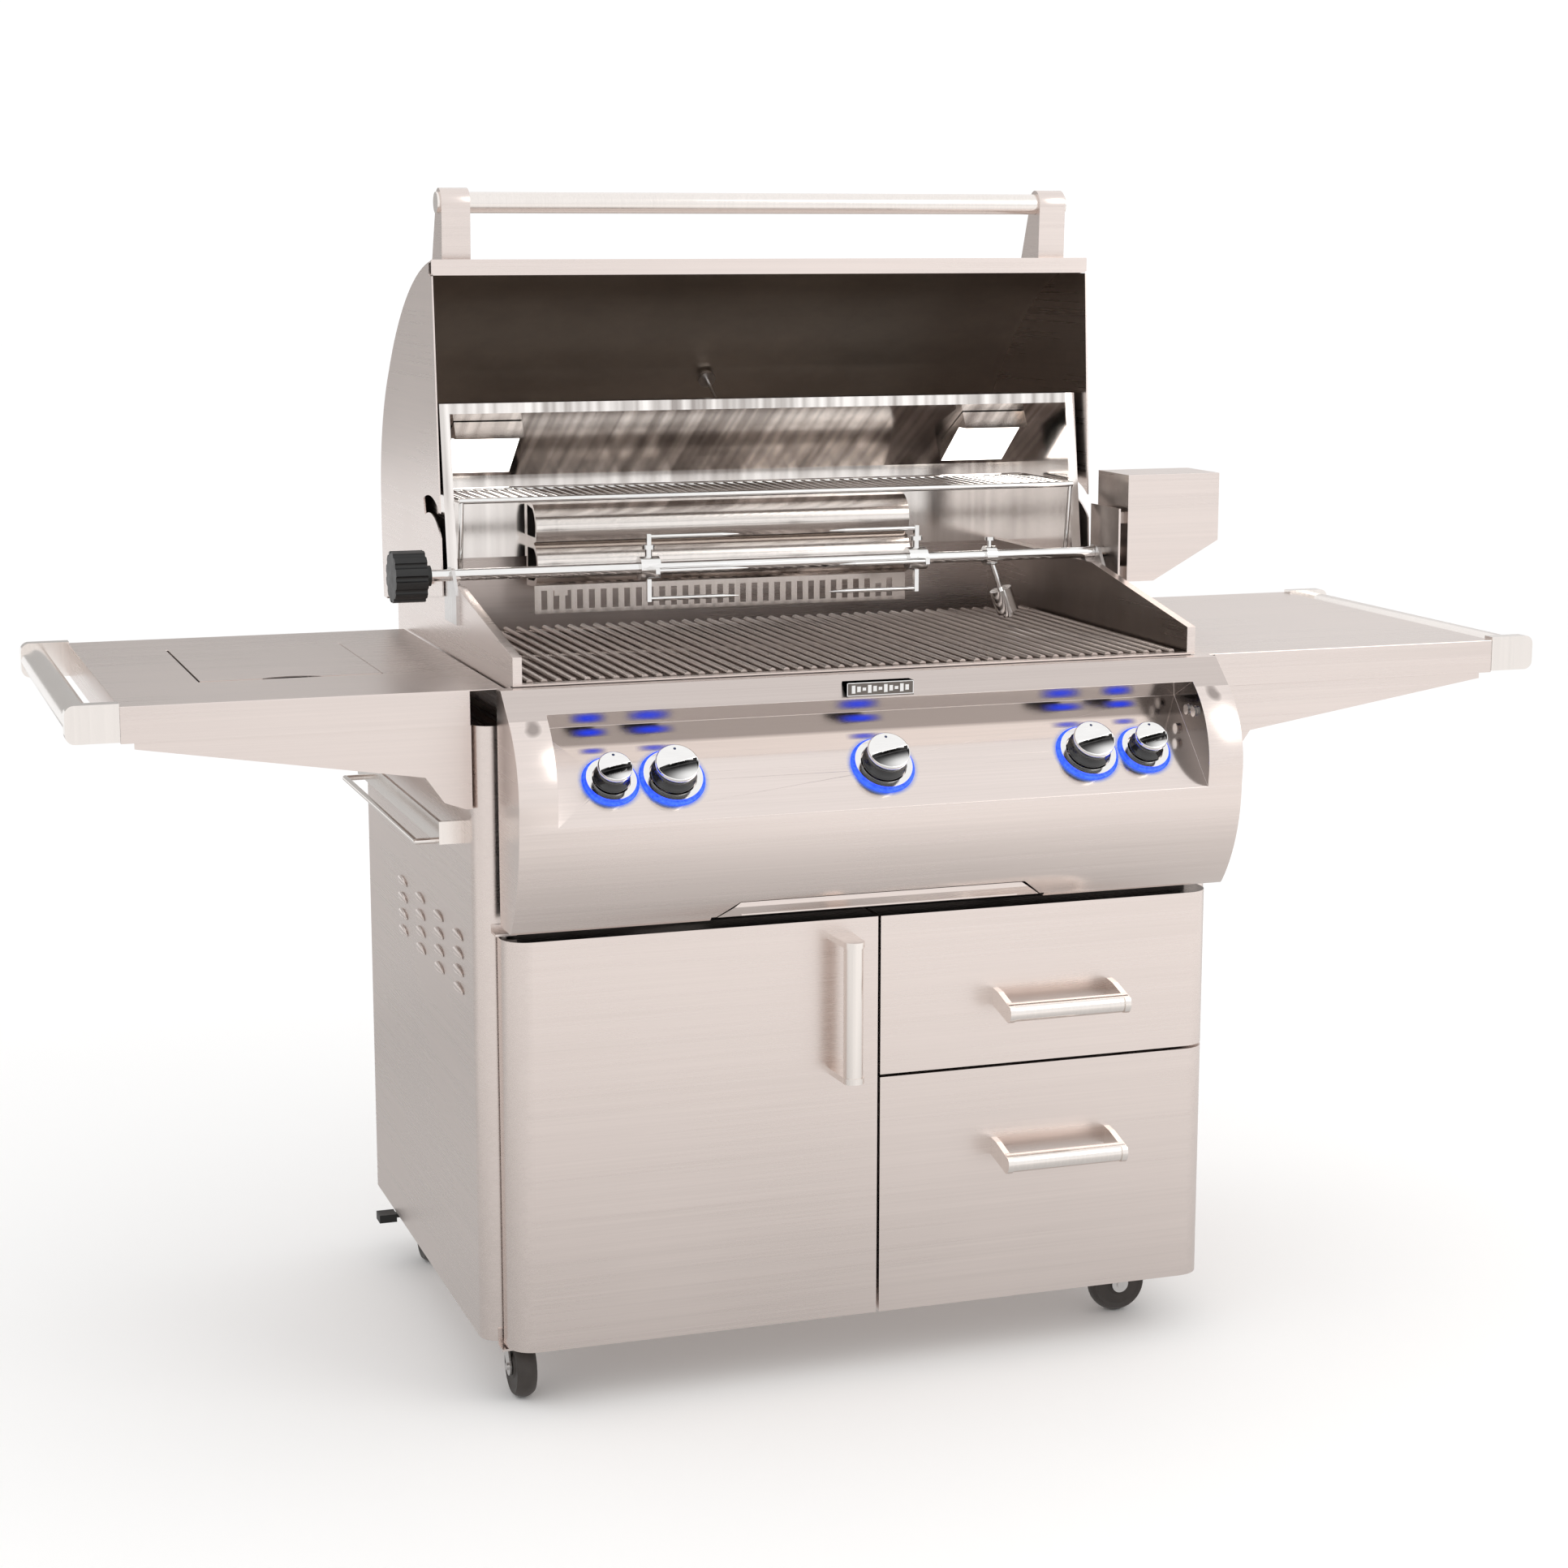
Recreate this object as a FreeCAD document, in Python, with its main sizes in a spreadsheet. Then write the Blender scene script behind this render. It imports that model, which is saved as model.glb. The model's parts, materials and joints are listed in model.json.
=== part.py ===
import FreeCAD, Part
import math
import os
import re
import Sketcher

# Gas barbecue grill on a closed cart: side panels, floor, back and frame carry the firebox, the
# upper oven, two side shelves and a bowed control panel.  The hood, spit, knobs, light buttons,
# door, drawers, drip tray, side burner lid, casters and brake levers move.
# Millimetres, +Z up, +X along the length, +Y to the back.  The origin is on the floor, midway
# between the shelf ends and midway between the front of the control panel and the open hood.

SIZES = {
    # cart
    "cart_width": 1040, "cart_front": -306, "cart_back": 403, "skirt_height": 87,
    "cart_top": 905, "sheet": 2, "post_radius": 27, "post_return": 40, "floor_height": 110,
    # door and drawers
    "front_face": -363, "front_depth": 50, "front_top": 634, "front_split": 9, "front_gap": 4,
    "front_margin": 25, "front_radius": 34, "drawer_depth": 430,
    "drawer_wall": 1.5, "slide_width": 10, "slide_height": 36,
    "door_hinge_inset": 8, "door_hinge_setback": 5, "hinge_pin_radius": 4,
    # pull handles
    "pull_radius": 13, "pull_length": 175, "pull_standoff": 48, "pull_cheek": 8,
    "door_pull_length": 190, "door_pull_inset": 52, "door_pull_middle": 520,
    # control panel
    "panel_width": 990, "panel_top": 957, "panel_bottom": 651, "panel_skin": 2.5,
    "recess_width": 890, "knob_height": 841.5, "knob_front": -394.5,
    "large_knob_radius": 28, "small_knob_radius": 22, "knob_lift": 8, "knob_length": 28,
    "bezel_margin": 10.5, "ring_margin": 3, "stem_radius": 5, "bearing_clearance": 0.1,
    "button_radius": 7,
    # firebox, grids and burners
    "firebox_width": 948, "firebox_wall": 12, "firebox_bottom": 770, "firebox_front": -334,
    "firebox_shoulder": -20, "firebox_back": 372, "firebox_lip": 995, "firebox_top": 1051,
    "grid_top": 964, "grid_rod": 4.5, "grid_pitch": 19, "grid_sections": 3,
    "grid_front": -316, "grid_back": 203, "burner_radius": 16, "burner_count": 5,
    # upper oven
    "oven_front": 52, "oven_top": 1290, "oven_back": 330, "oven_flange": 14,
    "rack_height": 1160, "rack_front": 37, "rack_back": 210, "rack_rod": 2.5, "rack_pitch": 15,
    # hood
    "hood_width": 964, "hood_skin": 2, "hood_axis_back": 102, "hood_axis_height": 1050,
    "hood_handle_radius": 14.5, "hood_handle_height": 1560, "hood_handle_back": 108,
    "hood_bracket_middle": 440, "hood_bracket_width": 40,
    # spit
    "spit_back": 1, "spit_height": 1064, "spit_radius": 8, "spit_left": -520, "spit_right": 508,
    "fork_middle": 198, "prong_length": 130, "prong_spread": 47, "prong_radius": 3,
    "spit_grip_radius": 35, "spit_grip_length": 44, "weight_x": 311,
    # shelves
    "shelf_top": 952, "shelf_drop": 46, "shelf_reach": 957, "shelf_front": -301,
    "shelf_back": 318, "overall_width": 2046, "rail_radius": 19, "rail_height": 932,
    "rail_cap_height": 48, "rail_cap_depth": 20,
    "lid_left": -836, "lid_right": -596, "lid_front": -123, "lid_back": 197, "lid_gap": 2,
    # casters
    "wheel_radius": 42, "wheel_width": 27, "axle_radius": 5, "caster_x": 466,
    "caster_front": -238, "caster_back": 330, "caster_trail": 46,
    # drip tray
    "tray_half_width": 230, "tray_slant": 35, "tray_depth": 420,
}

doc = FreeCAD.newDocument("gas_grill")
sheet = doc.addObject("Spreadsheet::Sheet", "Sizes")
for row, (alias, number) in enumerate(SIZES.items(), start=1):
    sheet.set(f"A{row}", alias)
    sheet.set(f"B{row}", str(number))
    sheet.setAlias(f"B{row}", alias)
doc.recompute()


class Numbers:
    """The sheet's cells as plain attributes, for shapes that are made in code."""

    def __getattr__(self, alias):
        return float(sheet.get(alias))


cell = Numbers()
subparts = []


# ---------------------------------------------------------------- helpers

def bound(text):
    """Point each alias in an expression at its cell."""
    return re.sub(r"[a-z_]+", lambda word: f"Sizes.{word.group()}", str(text))


def keep(shape_object, label):
    """Give a finished sub-part the Label that names its file."""
    shape_object.Label = label
    subparts.append(shape_object)
    return shape_object


def box(low, high):
    """A box between two corners, each a triple of sheet expressions."""
    block = doc.addObject("Part::Box", "block")
    for side, axis, start, end in zip(("Length", "Width", "Height"), "xyz", low, high):
        block.setExpression(side, bound(f"({end}) - ({start})"))
        block.setExpression(f"Placement.Base.{axis}", bound(start))
    return block


TURNS = {
    "x": FreeCAD.Rotation(FreeCAD.Vector(0, 1, 0), 90),
    "y": FreeCAD.Rotation(FreeCAD.Vector(1, 0, 0), -90),
    "z": FreeCAD.Rotation(),
}


def cylinder(radius, start, length, axis):
    """A round bar from a start point along +X, +Y or +Z."""
    bar = doc.addObject("Part::Cylinder", "bar")
    bar.Placement = FreeCAD.Placement(FreeCAD.Vector(), TURNS[axis])
    bar.setExpression("Radius", bound(radius))
    bar.setExpression("Height", bound(length))
    for letter, place in zip("xyz", start):
        bar.setExpression(f"Placement.Base.{letter}", bound(place))
    return bar


def joined(pieces):
    """Several touching pieces as one solid."""
    union = doc.addObject("Part::MultiFuse", "union")
    union.Shapes = pieces
    union.Refine = True
    return union


def cut(base, tools):
    """A piece with one or more others taken away."""
    result = doc.addObject("Part::Cut", "cut")
    result.Base = base
    result.Tool = tools[0] if len(tools) == 1 else joined(tools)
    return result


def grouped(pieces):
    """Separate solids that share one node."""
    group = doc.addObject("Part::Compound", "group")
    group.Links = pieces
    return group


def feature(shape, place=FreeCAD.Placement()):
    """A shape made in code, then placed."""
    item = doc.addObject("Part::Feature", "shape")
    item.Shape = shape
    item.Placement = place
    return item


def vec(x, y, z):
    return FreeCAD.Vector(x, y, z)


def block(low, high):
    """A solid box in code, between two corners."""
    size = [b - a for a, b in zip(low, high)]
    return Part.makeBox(*size, vec(*low))


def rod(radius, start, end):
    """A solid round rod in code, between two points."""
    start, end = vec(*start), vec(*end)
    return Part.makeCylinder(radius, (end - start).Length, start, end - start)


def lift(point, plane, level):
    """A two-number outline point on the XY, XZ or YZ plane, at a level along its normal."""
    first, second = point
    return {"xy": vec(first, second, level), "xz": vec(first, level, second),
            "yz": vec(level, first, second)}[plane]


def outline_wire(points, plane, level, closed=True):
    """A wire of straight runs; a middle point marked as an arc's point makes a round stretch.

    Each entry is (a, b), or (a, b, "arc") for the point that an arc passes through.
    """
    loop = points + [points[0]] if closed else points
    edges = []
    index = 0
    while index < len(loop) - 1:
        start = lift(loop[index][:2], plane, level)
        if len(loop[index + 1]) == 3:
            middle = lift(loop[index + 1][:2], plane, level)
            end = lift(loop[index + 2][:2], plane, level)
            edges.append(Part.Arc(start, middle, end).toShape())
            index += 2
        else:
            edges.append(Part.LineSegment(start, lift(loop[index + 1][:2], plane, level)).toShape())
            index += 1
    return Part.Wire(edges)


def prism(points, plane, low, high):
    """A closed outline pushed along its plane's normal from one level to another."""
    normal = lift((0, 0), plane, high - low)
    return Part.Face(outline_wire(points, plane, low)).extrude(normal)


def strip(points, plane, low, high, thickness):
    """Sheet metal that follows an open outline, thickened to one side (the sign chooses it)."""
    wire = outline_wire(points, plane, low, closed=False)
    face = wire.makeOffset2D(thickness, join=2, fill=True, openResult=True)
    return face.extrude(lift((0, 0), plane, high - low))


def fused(solids):
    return solids[0].fuse(solids[1:]).removeSplitter() if len(solids) > 1 else solids[0]


def turned(profile, label):
    """A PartDesign body turned about Z from (radius, height) points bound to the sheet."""
    body = doc.addObject("PartDesign::Body", label)
    sketch = body.newObject("Sketcher::SketchObject", f"{label}_profile")
    plane = next(f for f in body.Origin.OriginFeatures if f.Role == "XZ_Plane")
    sketch.AttachmentSupport = [(plane, "")]
    sketch.MapMode = "FlatFace"
    count = len(profile)
    for index in range(count):
        angle = 2 * math.pi * index / count
        following = 2 * math.pi * (index + 1) / count
        sketch.addGeometry(Part.LineSegment(
            vec(30 + 9 * math.cos(angle), 9 * math.sin(angle), 0),
            vec(30 + 9 * math.cos(following), 9 * math.sin(following), 0)))
    for index in range(count):
        sketch.addConstraint(Sketcher.Constraint("Coincident", index, 2, (index + 1) % count, 1))
    for index, (radius, height) in enumerate(profile):
        sketch.addConstraint(Sketcher.Constraint("DistanceX", -1, 1, index, 1, 1.0))
        sketch.setExpression(f"Constraints[{sketch.ConstraintCount - 1}]", bound(radius))
        sketch.addConstraint(Sketcher.Constraint("DistanceY", -1, 1, index, 1, 1.0))
        sketch.setExpression(f"Constraints[{sketch.ConstraintCount - 1}]", bound(height))
    spin = body.newObject("PartDesign::Revolution", f"{label}_turn")
    spin.Profile = sketch
    spin.ReferenceAxis = (sketch, ["V_Axis"])
    spin.Angle = 360
    body.Tip = spin
    return body


# ---------------------------------------------------------------- cart cabinet

LOUVRE_ROWS = 4
LOUVRE_COLUMNS = 4


def louvre_slots(side):
    """Small half-moon vents through a side panel, in a grid that steps down to the back."""
    slots = []
    for column in range(LOUVRE_COLUMNS):
        for row in range(LOUVRE_ROWS):
            back = -222 + 118 * column
            height = 536 + 24 * row
            outline = [(back, height), (back + 26, height + 11, "arc"), (back + 52, height)]
            across = sorted((side * (cell.cart_width / 2 - 10), side * (cell.cart_width / 2 + 10)))
            slots.append(prism(outline, "yz", *across))
    return slots


def side_panel(side, label, with_hinges):
    """A tall sheet with a rounded front post that returns behind the door, and a back flange."""
    outer = side * cell.cart_width / 2
    corner = cell.post_radius
    bow = corner * (1 - math.sqrt(0.5))
    inner_edge = outer - side * cell.post_return
    path = [(inner_edge, cell.cart_front), (outer - side * corner, cell.cart_front),
            (outer - side * bow, cell.cart_front + bow, "arc"), (outer, cell.cart_front + corner),
            (outer, cell.cart_back), (outer - side * 20, cell.cart_back)]
    shell = strip(path, "xy", cell.skirt_height, cell.cart_top, side * -cell.sheet)
    shell = shell.cut(louvre_slots(side))
    if with_hinges:
        shell = fused([shell] + hinge_lugs())
    return keep(feature(shell), label)


def hinge_axis():
    """The door's vertical axis, as (x, y)."""
    left = -cell.cart_width / 2 + cell.front_margin + cell.door_hinge_inset
    return left, cell.front_face + cell.front_depth - cell.door_hinge_setback


def hinge_lugs():
    """A plate with a pin above the door and one below it, each tied to the panel's front return."""
    x, y = hinge_axis()
    tie_end = x + 5
    high, low = cell.front_top + 3, cell.skirt_height - 6
    plates = [block((x - 14, y - 12, level), (x + 14, cell.cart_front, level + 3))
              for level in (high, low)]
    ties = [block((x - 14, cell.cart_front - 2, high), (tie_end, cell.cart_front + 1, high + 11)),
            block((x - 14, cell.cart_front - 2, low), (tie_end, cell.cart_front + 1, low + 24))]
    pins = [rod(cell.hinge_pin_radius, (x, y, high + 1), (x, y, high - 8)),
            rod(cell.hinge_pin_radius, (x, y, low + 2), (x, y, low + 12))]
    return plates + ties + pins


def back_panel():
    width = "cart_width / 2 - sheet - 1"
    plate = box((f"-({width})", "cart_back - 2 * sheet - 1", "floor_height + sheet"),
                (width, "cart_back - sheet - 1", "cart_top"))
    inlet_hole = cylinder("11", (0, "cart_back - 20", 700), "40", "y")
    return keep(cut(plate, [inlet_hole]), "back_panel")


def floor_pan():
    """The bottom sheet with a turned-down front edge, and a pad with a stem for each caster."""
    width = "cart_width / 2 - sheet - 0.5"
    narrow = "cart_width / 2 - post_radius - 1"
    front, back = "cart_front + sheet + 2", "cart_back - sheet - 1"
    behind_posts = "cart_front + post_radius + 1"
    pieces = [box((f"-({width})", behind_posts, "floor_height"), (width, back, "floor_height + sheet")),
              box((f"-({narrow})", front, "floor_height"),
                  (narrow, behind_posts, "floor_height + sheet")),
              box((f"-({narrow})", front, "floor_height - 18"),
                  (narrow, f"{front} + sheet", "floor_height"))]
    for x in ("-caster_x", "caster_x"):
        for y in ("caster_front", "caster_back"):
            pieces.append(box((f"{x} - 42", f"{y} - 42", "floor_height - 4"),
                              (f"{x} + 42", f"{y} + 42", "floor_height")))
            pieces.append(cylinder("8", (x, y, "floor_height - 14"), "12", "z"))
    return keep(joined(pieces), "floor_pan")


def cart_frame():
    """The upright between the door and the drawers, with the rail above them."""
    post = [box(("front_split - sheet / 2", "cart_front + sheet", "floor_height + sheet"),
                ("front_split + sheet / 2", "cart_back - 2 * sheet - 1", "front_top + 6")),
            box(("front_split - 20", "cart_front", "floor_height + sheet"),
                ("front_split + 20", "cart_front + sheet", "front_top + 6"))]
    width = "cart_width / 2 - post_return - 1"
    rail = [box((f"-({width})", "cart_front", "front_top - 8"),
                (width, "cart_front + sheet", "front_top + 9")),
            box((f"-({width})", "cart_front", "front_top + 7"),
                (width, "cart_front + 36", "front_top + 9"))]
    return keep(joined(post + rail), "cart_frame")


# ---------------------------------------------------------------- door and drawers

def front_pan(left, right, bottom, top, round_left, round_right):
    """A pressed front, open at the back, with one upright edge rounded over."""
    front, back = cell.front_face, cell.front_face + cell.front_depth
    radius = cell.front_radius
    bow = radius * (1 - math.sqrt(0.5))
    outline = [(left, back)]
    if round_left:
        outline += [(left, front + radius), (left + bow, front + bow, "arc"), (left + radius, front)]
    else:
        outline += [(left, front)]
    if round_right:
        outline += [(right - radius, front), (right - bow, front + bow, "arc"), (right, front + radius)]
    else:
        outline += [(right, front)]
    outline += [(right, back)]
    full = prism(outline, "xy", bottom, top)
    inner_face = Part.Face(outline_wire(outline, "xy", bottom + cell.sheet)).makeOffset2D(-cell.sheet)
    hollow = inner_face.extrude(vec(0, 0, top - bottom - 2 * cell.sheet))
    window = block((left + 20, back - 10, bottom + 20), (right - 20, back + 10, top - 20))
    return full.cut([hollow, window])


def front_edges():
    """The four upright edges of the fronts, left to right."""
    half = cell.cart_width / 2 - cell.front_margin
    gap = cell.front_gap / 2
    return -half, cell.front_split - gap, cell.front_split + gap, half


def door_shell():
    left, right, _, _ = front_edges()
    shell = front_pan(left, right, cell.skirt_height, cell.front_top, True, False)
    x, y = hinge_axis()
    bore = rod(cell.hinge_pin_radius + cell.bearing_clearance, (x, y, 0), (x, y, 900))
    sockets = [block((x - 7, y - 7, level), (x + 7, y + 4, level + 12))
               for level in (cell.skirt_height, cell.front_top - 12)]
    return keep(feature(fused([shell] + sockets).cut(bore)), "door_shell")


def pull_handle(middle, length, axis, label):
    """A round grip between two flat cheeks that stand off the front."""
    x, z = middle
    face = cell.front_face
    grip = face - cell.pull_standoff
    half = length / 2
    solids = []
    for end in (-1, 1):
        outer = end * half
        inner = end * (half - cell.pull_cheek)
        low, high = sorted((outer, inner))
        if axis == "x":
            cheek = [(face, z + 22), (face - 18, z + 20), (grip - 13, z + 8),
                     (grip - 15, z - 4, "arc"), (grip - 6, z - 14), (face, z - 2)]
            solids.append(prism(cheek, "yz", x + low, x + high))
        else:
            cheek = [(x + 16, face), (x + 14, grip + 2), (x, grip - 15, "arc"), (x - 14, grip + 2),
                     (x - 16, face)]
            solids.append(prism(cheek, "xy", z + low, z + high))
    if axis == "x":
        bar = rod(cell.pull_radius, (x - half + 1, grip, z - 1), (x + half - 1, grip, z - 1))
    else:
        bar = rod(cell.pull_radius, (x, grip, z - half + 1), (x, grip, z + half - 1))
    return keep(feature(fused([bar] + solids)), label)


def drawer(bottom, top, tray_bottom, tray_top, label):
    """A pressed front joined to an open-topped box."""
    _, _, left, right = front_edges()
    front = front_pan(left, right, bottom, top, False, True)
    inner_left = cell.front_split + 21 + cell.slide_width + 2
    inner_right = cell.cart_width / 2 - cell.post_return - 1 - cell.slide_width - 2
    mouth = cell.front_face + cell.front_depth
    rear = mouth + cell.drawer_depth
    wall = cell.drawer_wall
    tub = block((inner_left, mouth - 2, tray_bottom), (inner_right, rear, tray_top))
    tub = tub.cut(block((inner_left + wall, mouth, tray_bottom + wall),
                        (inner_right - wall, rear - wall, 900)))
    liner = block((left + 10, mouth - 2, bottom + 10), (right - 10, mouth, top - 10))
    return keep(feature(fused([front, liner, tub])), label)


def drawer_slides(levels):
    """Four fixed rails with stand-off feet, two to a drawer."""
    left = cell.front_split + 21
    right = cell.cart_width / 2 - cell.post_return - 1
    front = cell.cart_front + 6
    back = front + cell.drawer_depth
    half = cell.slide_height / 2
    rails = []
    for level in levels:
        for near, foot in ((left, cell.front_split + cell.sheet / 2),
                           (right - cell.slide_width, cell.cart_width / 2 - cell.sheet)):
            bar = block((near, front, level - half), (near + cell.slide_width, back, level + half))
            low, high = sorted((foot, near + cell.slide_width / 2))
            feet = [block((low, y, level - 8), (high, y + 30, level + 8))
                    for y in (front + 30, back - 60)]
            rails.append(fused([bar] + feet))
    return keep(feature(Part.makeCompound(rails)), "drawer_slides")


# ---------------------------------------------------------------- control panel

def panel_outline():
    """The bowed front in profile, top back edge first, with the bulge as arcs."""
    return [(-333, cell.panel_top), (-355, cell.panel_top), (-395, 923), (-432, 874, "arc"),
            (-441, 801), (-430, 728, "arc"), (-390, 654), (-386, cell.panel_bottom),
            (-333, cell.panel_bottom)]


def recess_outline(grow):
    """The knob recess: a 45 degree face, the overhang above it, and open air in front."""
    corner_y, corner_z = -333, 903
    return [(-441 + grow * 0.4, 795 - grow), (corner_y + grow * 1.2, corner_z), (-387, 929 + grow),
            (-470, 929 + grow), (-470, 795 - grow)]


def knob_positions():
    """(x, cap radius) for the five knobs, left to right."""
    small, large = cell.small_knob_radius, cell.large_knob_radius
    return [(-365, small), (-284, large), (0, large), (289, large), (372, small)]


SLOPE = FreeCAD.Rotation(vec(1, 0, 0), 45)


def knob_place(x, lift_off):
    """Where a knob's own origin lies: on the sloping face, moved out along its normal."""
    step = lift_off * math.sqrt(0.5)
    return FreeCAD.Placement(vec(x, cell.knob_front - step, cell.knob_height + step), SLOPE)


def control_panel():
    half = cell.panel_width / 2
    skin = cell.panel_skin
    solid = prism(panel_outline(), "yz", -half, half)
    inner_face = Part.Face(outline_wire(panel_outline(), "yz", -half + skin)).makeOffset2D(-skin)
    hollow = inner_face.extrude(vec(2 * (half - skin), 0, 0))
    open_back = block((-half + skin, -340, cell.panel_bottom + skin),
                      (half - skin, -300, cell.panel_top - skin))
    shell = solid.cut([hollow, open_back])
    wide = cell.recess_width / 2
    pocket_walls = prism(recess_outline(skin), "yz", -wide - skin, wide + skin).common(solid)
    pocket = prism(recess_outline(0), "yz", -wide, wide)
    body = shell.fuse(pocket_walls).cut(pocket)
    holes = []
    for x, _ in knob_positions():
        hole = Part.makeCylinder(cell.stem_radius + 1, 40, vec(0, 0, -20))
        hole.Placement = knob_place(x, 0)
        holes.append(hole)
    for y, z in button_positions():
        holes.append(rod(cell.button_radius + 0.4, (wide - 10, y, z), (wide + 10, y, z)))
    low = cell.tray_half_width + 2
    high = low - cell.tray_slant
    mouth = prism([(-low, 600), (low, 600), (low, cell.panel_bottom), (high, 677), (-high, 677),
                   (-low, cell.panel_bottom)], "xz", -450, -380)
    sill = block((-low, -400, cell.panel_bottom - 5), (low, -300, cell.panel_bottom + 5))
    return keep(feature(body.cut(holes + [mouth, sill]).removeSplitter()), "control_panel")


def badge():
    """A plain raised plate above the middle knob."""
    plate = block((-46, -2, -12.5), (46, 0, 12.5))
    lean = math.degrees(math.atan2(40, 34))
    place = FreeCAD.Placement(vec(0, -375.4, 940), FreeCAD.Rotation(vec(1, 0, 0), -lean))
    return keep(feature(plate, place), "badge")


def button_positions():
    """(y, z) of the two light buttons on the right end wall of the recess."""
    return [(-398, 890), (-377, 890)]


def light_button(index, label):
    """A short push button whose cap stands proud of the recess wall."""
    y, z = button_positions()[index]
    wall = cell.recess_width / 2
    cap = rod(cell.button_radius, (wall - 4, y, z), (wall + 1, y, z))
    stem = rod(3, (wall + 1, y, z), (wall + 14, y, z))
    return keep(feature(fused([cap, stem])), label)


def knob(x, radius_alias, label):
    """A tapered skirt and a flat cap with a raised finger bar."""
    base = f"{radius_alias} + 1.5"
    body = turned([("stem_radius + bearing_clearance", 0), (base, 0), (base, 3),
                   (f"{radius_alias} - 1", "knob_length - 8"),
                   (radius_alias, "knob_length - 7"), (radius_alias, "knob_length - 1.2"),
                   (f"{radius_alias} - 1.5", "knob_length"), ("0", "knob_length"),
                   ("0", "knob_length - 6"),
                   ("stem_radius + bearing_clearance", "knob_length - 6")], label)
    body.Placement = knob_place(x, cell.knob_lift)
    return keep(body, label)


def knob_bezels():
    """A flat collar round each knob, standing just off the panel."""
    rings = []
    for x, radius in knob_positions():
        outer = radius + cell.bezel_margin
        ring = Part.makeCylinder(outer, 4, vec(0, 0, 2.5))
        ring = ring.cut(Part.makeCylinder(radius + 3, 10, vec(0, 0, 0)))
        ring.Placement = knob_place(x, 0)
        rings.append(ring)
    return keep(feature(Part.makeCompound(rings)), "knob_bezels")


def knob_light_rings():
    """A translucent ring behind each bezel that carries the light."""
    rings = []
    for x, radius in knob_positions():
        outer = radius + cell.bezel_margin + cell.ring_margin
        ring = Part.makeCylinder(outer, 2.5).cut(Part.makeCylinder(radius + 3, 10, vec(0, 0, -1)))
        ring.Placement = knob_place(x, 0)
        rings.append(ring)
    return keep(feature(Part.makeCompound(rings)), "knob_light_rings")


def gas_manifold():
    """The pipe behind the panel with a valve and stem for each knob, and the inlet to the back."""
    pieces = [rod(9, (-430, -345, 700), (430, -345, 700)), rod(8, (0, -345, 700), (0, 425, 700)),
              rod(10.5, (0, 380, 700), (0, 404, 700))]
    for x in (-424, 424):
        pieces.append(block((x - 8, -352, 694), (x + 8, -338, 790)))
        pieces.append(block((x - 8, -352, 776), (x + 8, cell.firebox_front + 12, 790)))
    for x, _ in knob_positions():
        pieces.append(block((x - 14, -362, 690), (x + 14, -334, 790)))
        stem = Part.makeCylinder(cell.stem_radius, 92, vec(0, 0, -80))
        stem.Placement = knob_place(x, cell.knob_lift)
        pieces.append(stem)
        pieces.append(block((x - 11, -352, 770), (x + 11, -330, 806)))
    return keep(feature(fused(pieces)), "gas_manifold")


# ---------------------------------------------------------------- firebox, burners and grids

def firebox():
    """Double end walls that slope up to the back, with a front, back and holed bottom between."""
    half = cell.firebox_width / 2
    wall = cell.firebox_wall
    inset = cell.firebox_front + 12
    seat = cell.panel_top + 1
    side = [(inset, cell.firebox_bottom), (inset, seat), (cell.firebox_front, seat),
            (cell.firebox_front, cell.firebox_lip), (cell.firebox_shoulder, cell.firebox_top),
            (cell.firebox_back, cell.firebox_top), (cell.firebox_back, cell.firebox_bottom)]
    pieces = []
    for sign in (-1, 1):
        outer, inner = sign * half, sign * (half - wall)
        low, high = sorted((outer, inner))
        solid = prism(side, "yz", low, high)
        core = Part.Face(outline_wire(side, "yz", low + 2)).makeOffset2D(-2).extrude(vec(wall - 4, 0, 0))
        opening = block((low + 2, inset + 2, cell.firebox_bottom - 5),
                        (high - 2, cell.firebox_back - 2, cell.firebox_bottom + 5))
        pieces.append(solid.cut([core, opening]))
    span = half - wall + 0.5
    pieces.append(block((-span, inset, cell.firebox_bottom), (span, inset + 2, seat - 1)))
    pieces.append(block((-span, cell.firebox_front, seat), (span, inset + 2, seat + 2)))
    pieces.append(block((-span, inset, seat - 2), (span, inset + 2, seat + 1)))
    pieces.append(block((-span, cell.firebox_back - 2, cell.firebox_bottom),
                        (span, cell.firebox_back, cell.firebox_top)))
    ledge_top = cell.grid_top - 2 * cell.grid_rod - 5
    pieces.append(block((-span, inset + 1, ledge_top - 4), (span, cell.grid_front + 12, ledge_top)))
    pieces.append(block((-span, cell.grid_back - 12, ledge_top - 4),
                        (span, cell.grid_back + 4, ledge_top)))
    bottom = block((-span, inset, cell.firebox_bottom),
                   (span, cell.firebox_back, cell.firebox_bottom + 2))
    drain = block((-200, -170, 700), (200, 200, 800))
    pieces.append(bottom.cut(drain))
    for sign in (-1, 1):
        low, high = sorted((sign * (half - 1), sign * (cell.cart_width / 2 - cell.sheet)))
        for y in (-240, 300):
            pieces.append(block((low, y, 800), (high, y + 40, 803)))
    return keep(feature(fused(pieces + hood_trunnions())), "firebox")


def main_burners():
    """Tube burners that lie front to back, each with a crossover flange at the rear."""
    spacing = "firebox_width / 6"
    burners = []
    for index in range(int(cell.burner_count)):
        x = f"({index} - 2) * {spacing}"
        tube = cylinder("burner_radius", (x, "firebox_front + 30", 850),
                        "firebox_back - firebox_front - 90", "y")
        foot = box((f"{x} - 14", "firebox_back - 64", 772), (f"{x} + 14", "firebox_back - 61", 850))
        front_foot = box((f"{x} - 14", "firebox_front + 32", 772),
                         (f"{x} + 14", "firebox_front + 35", 850))
        burners.append(joined([tube, foot, front_foot]))
    return keep(grouped(burners), "main_burners")


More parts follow.
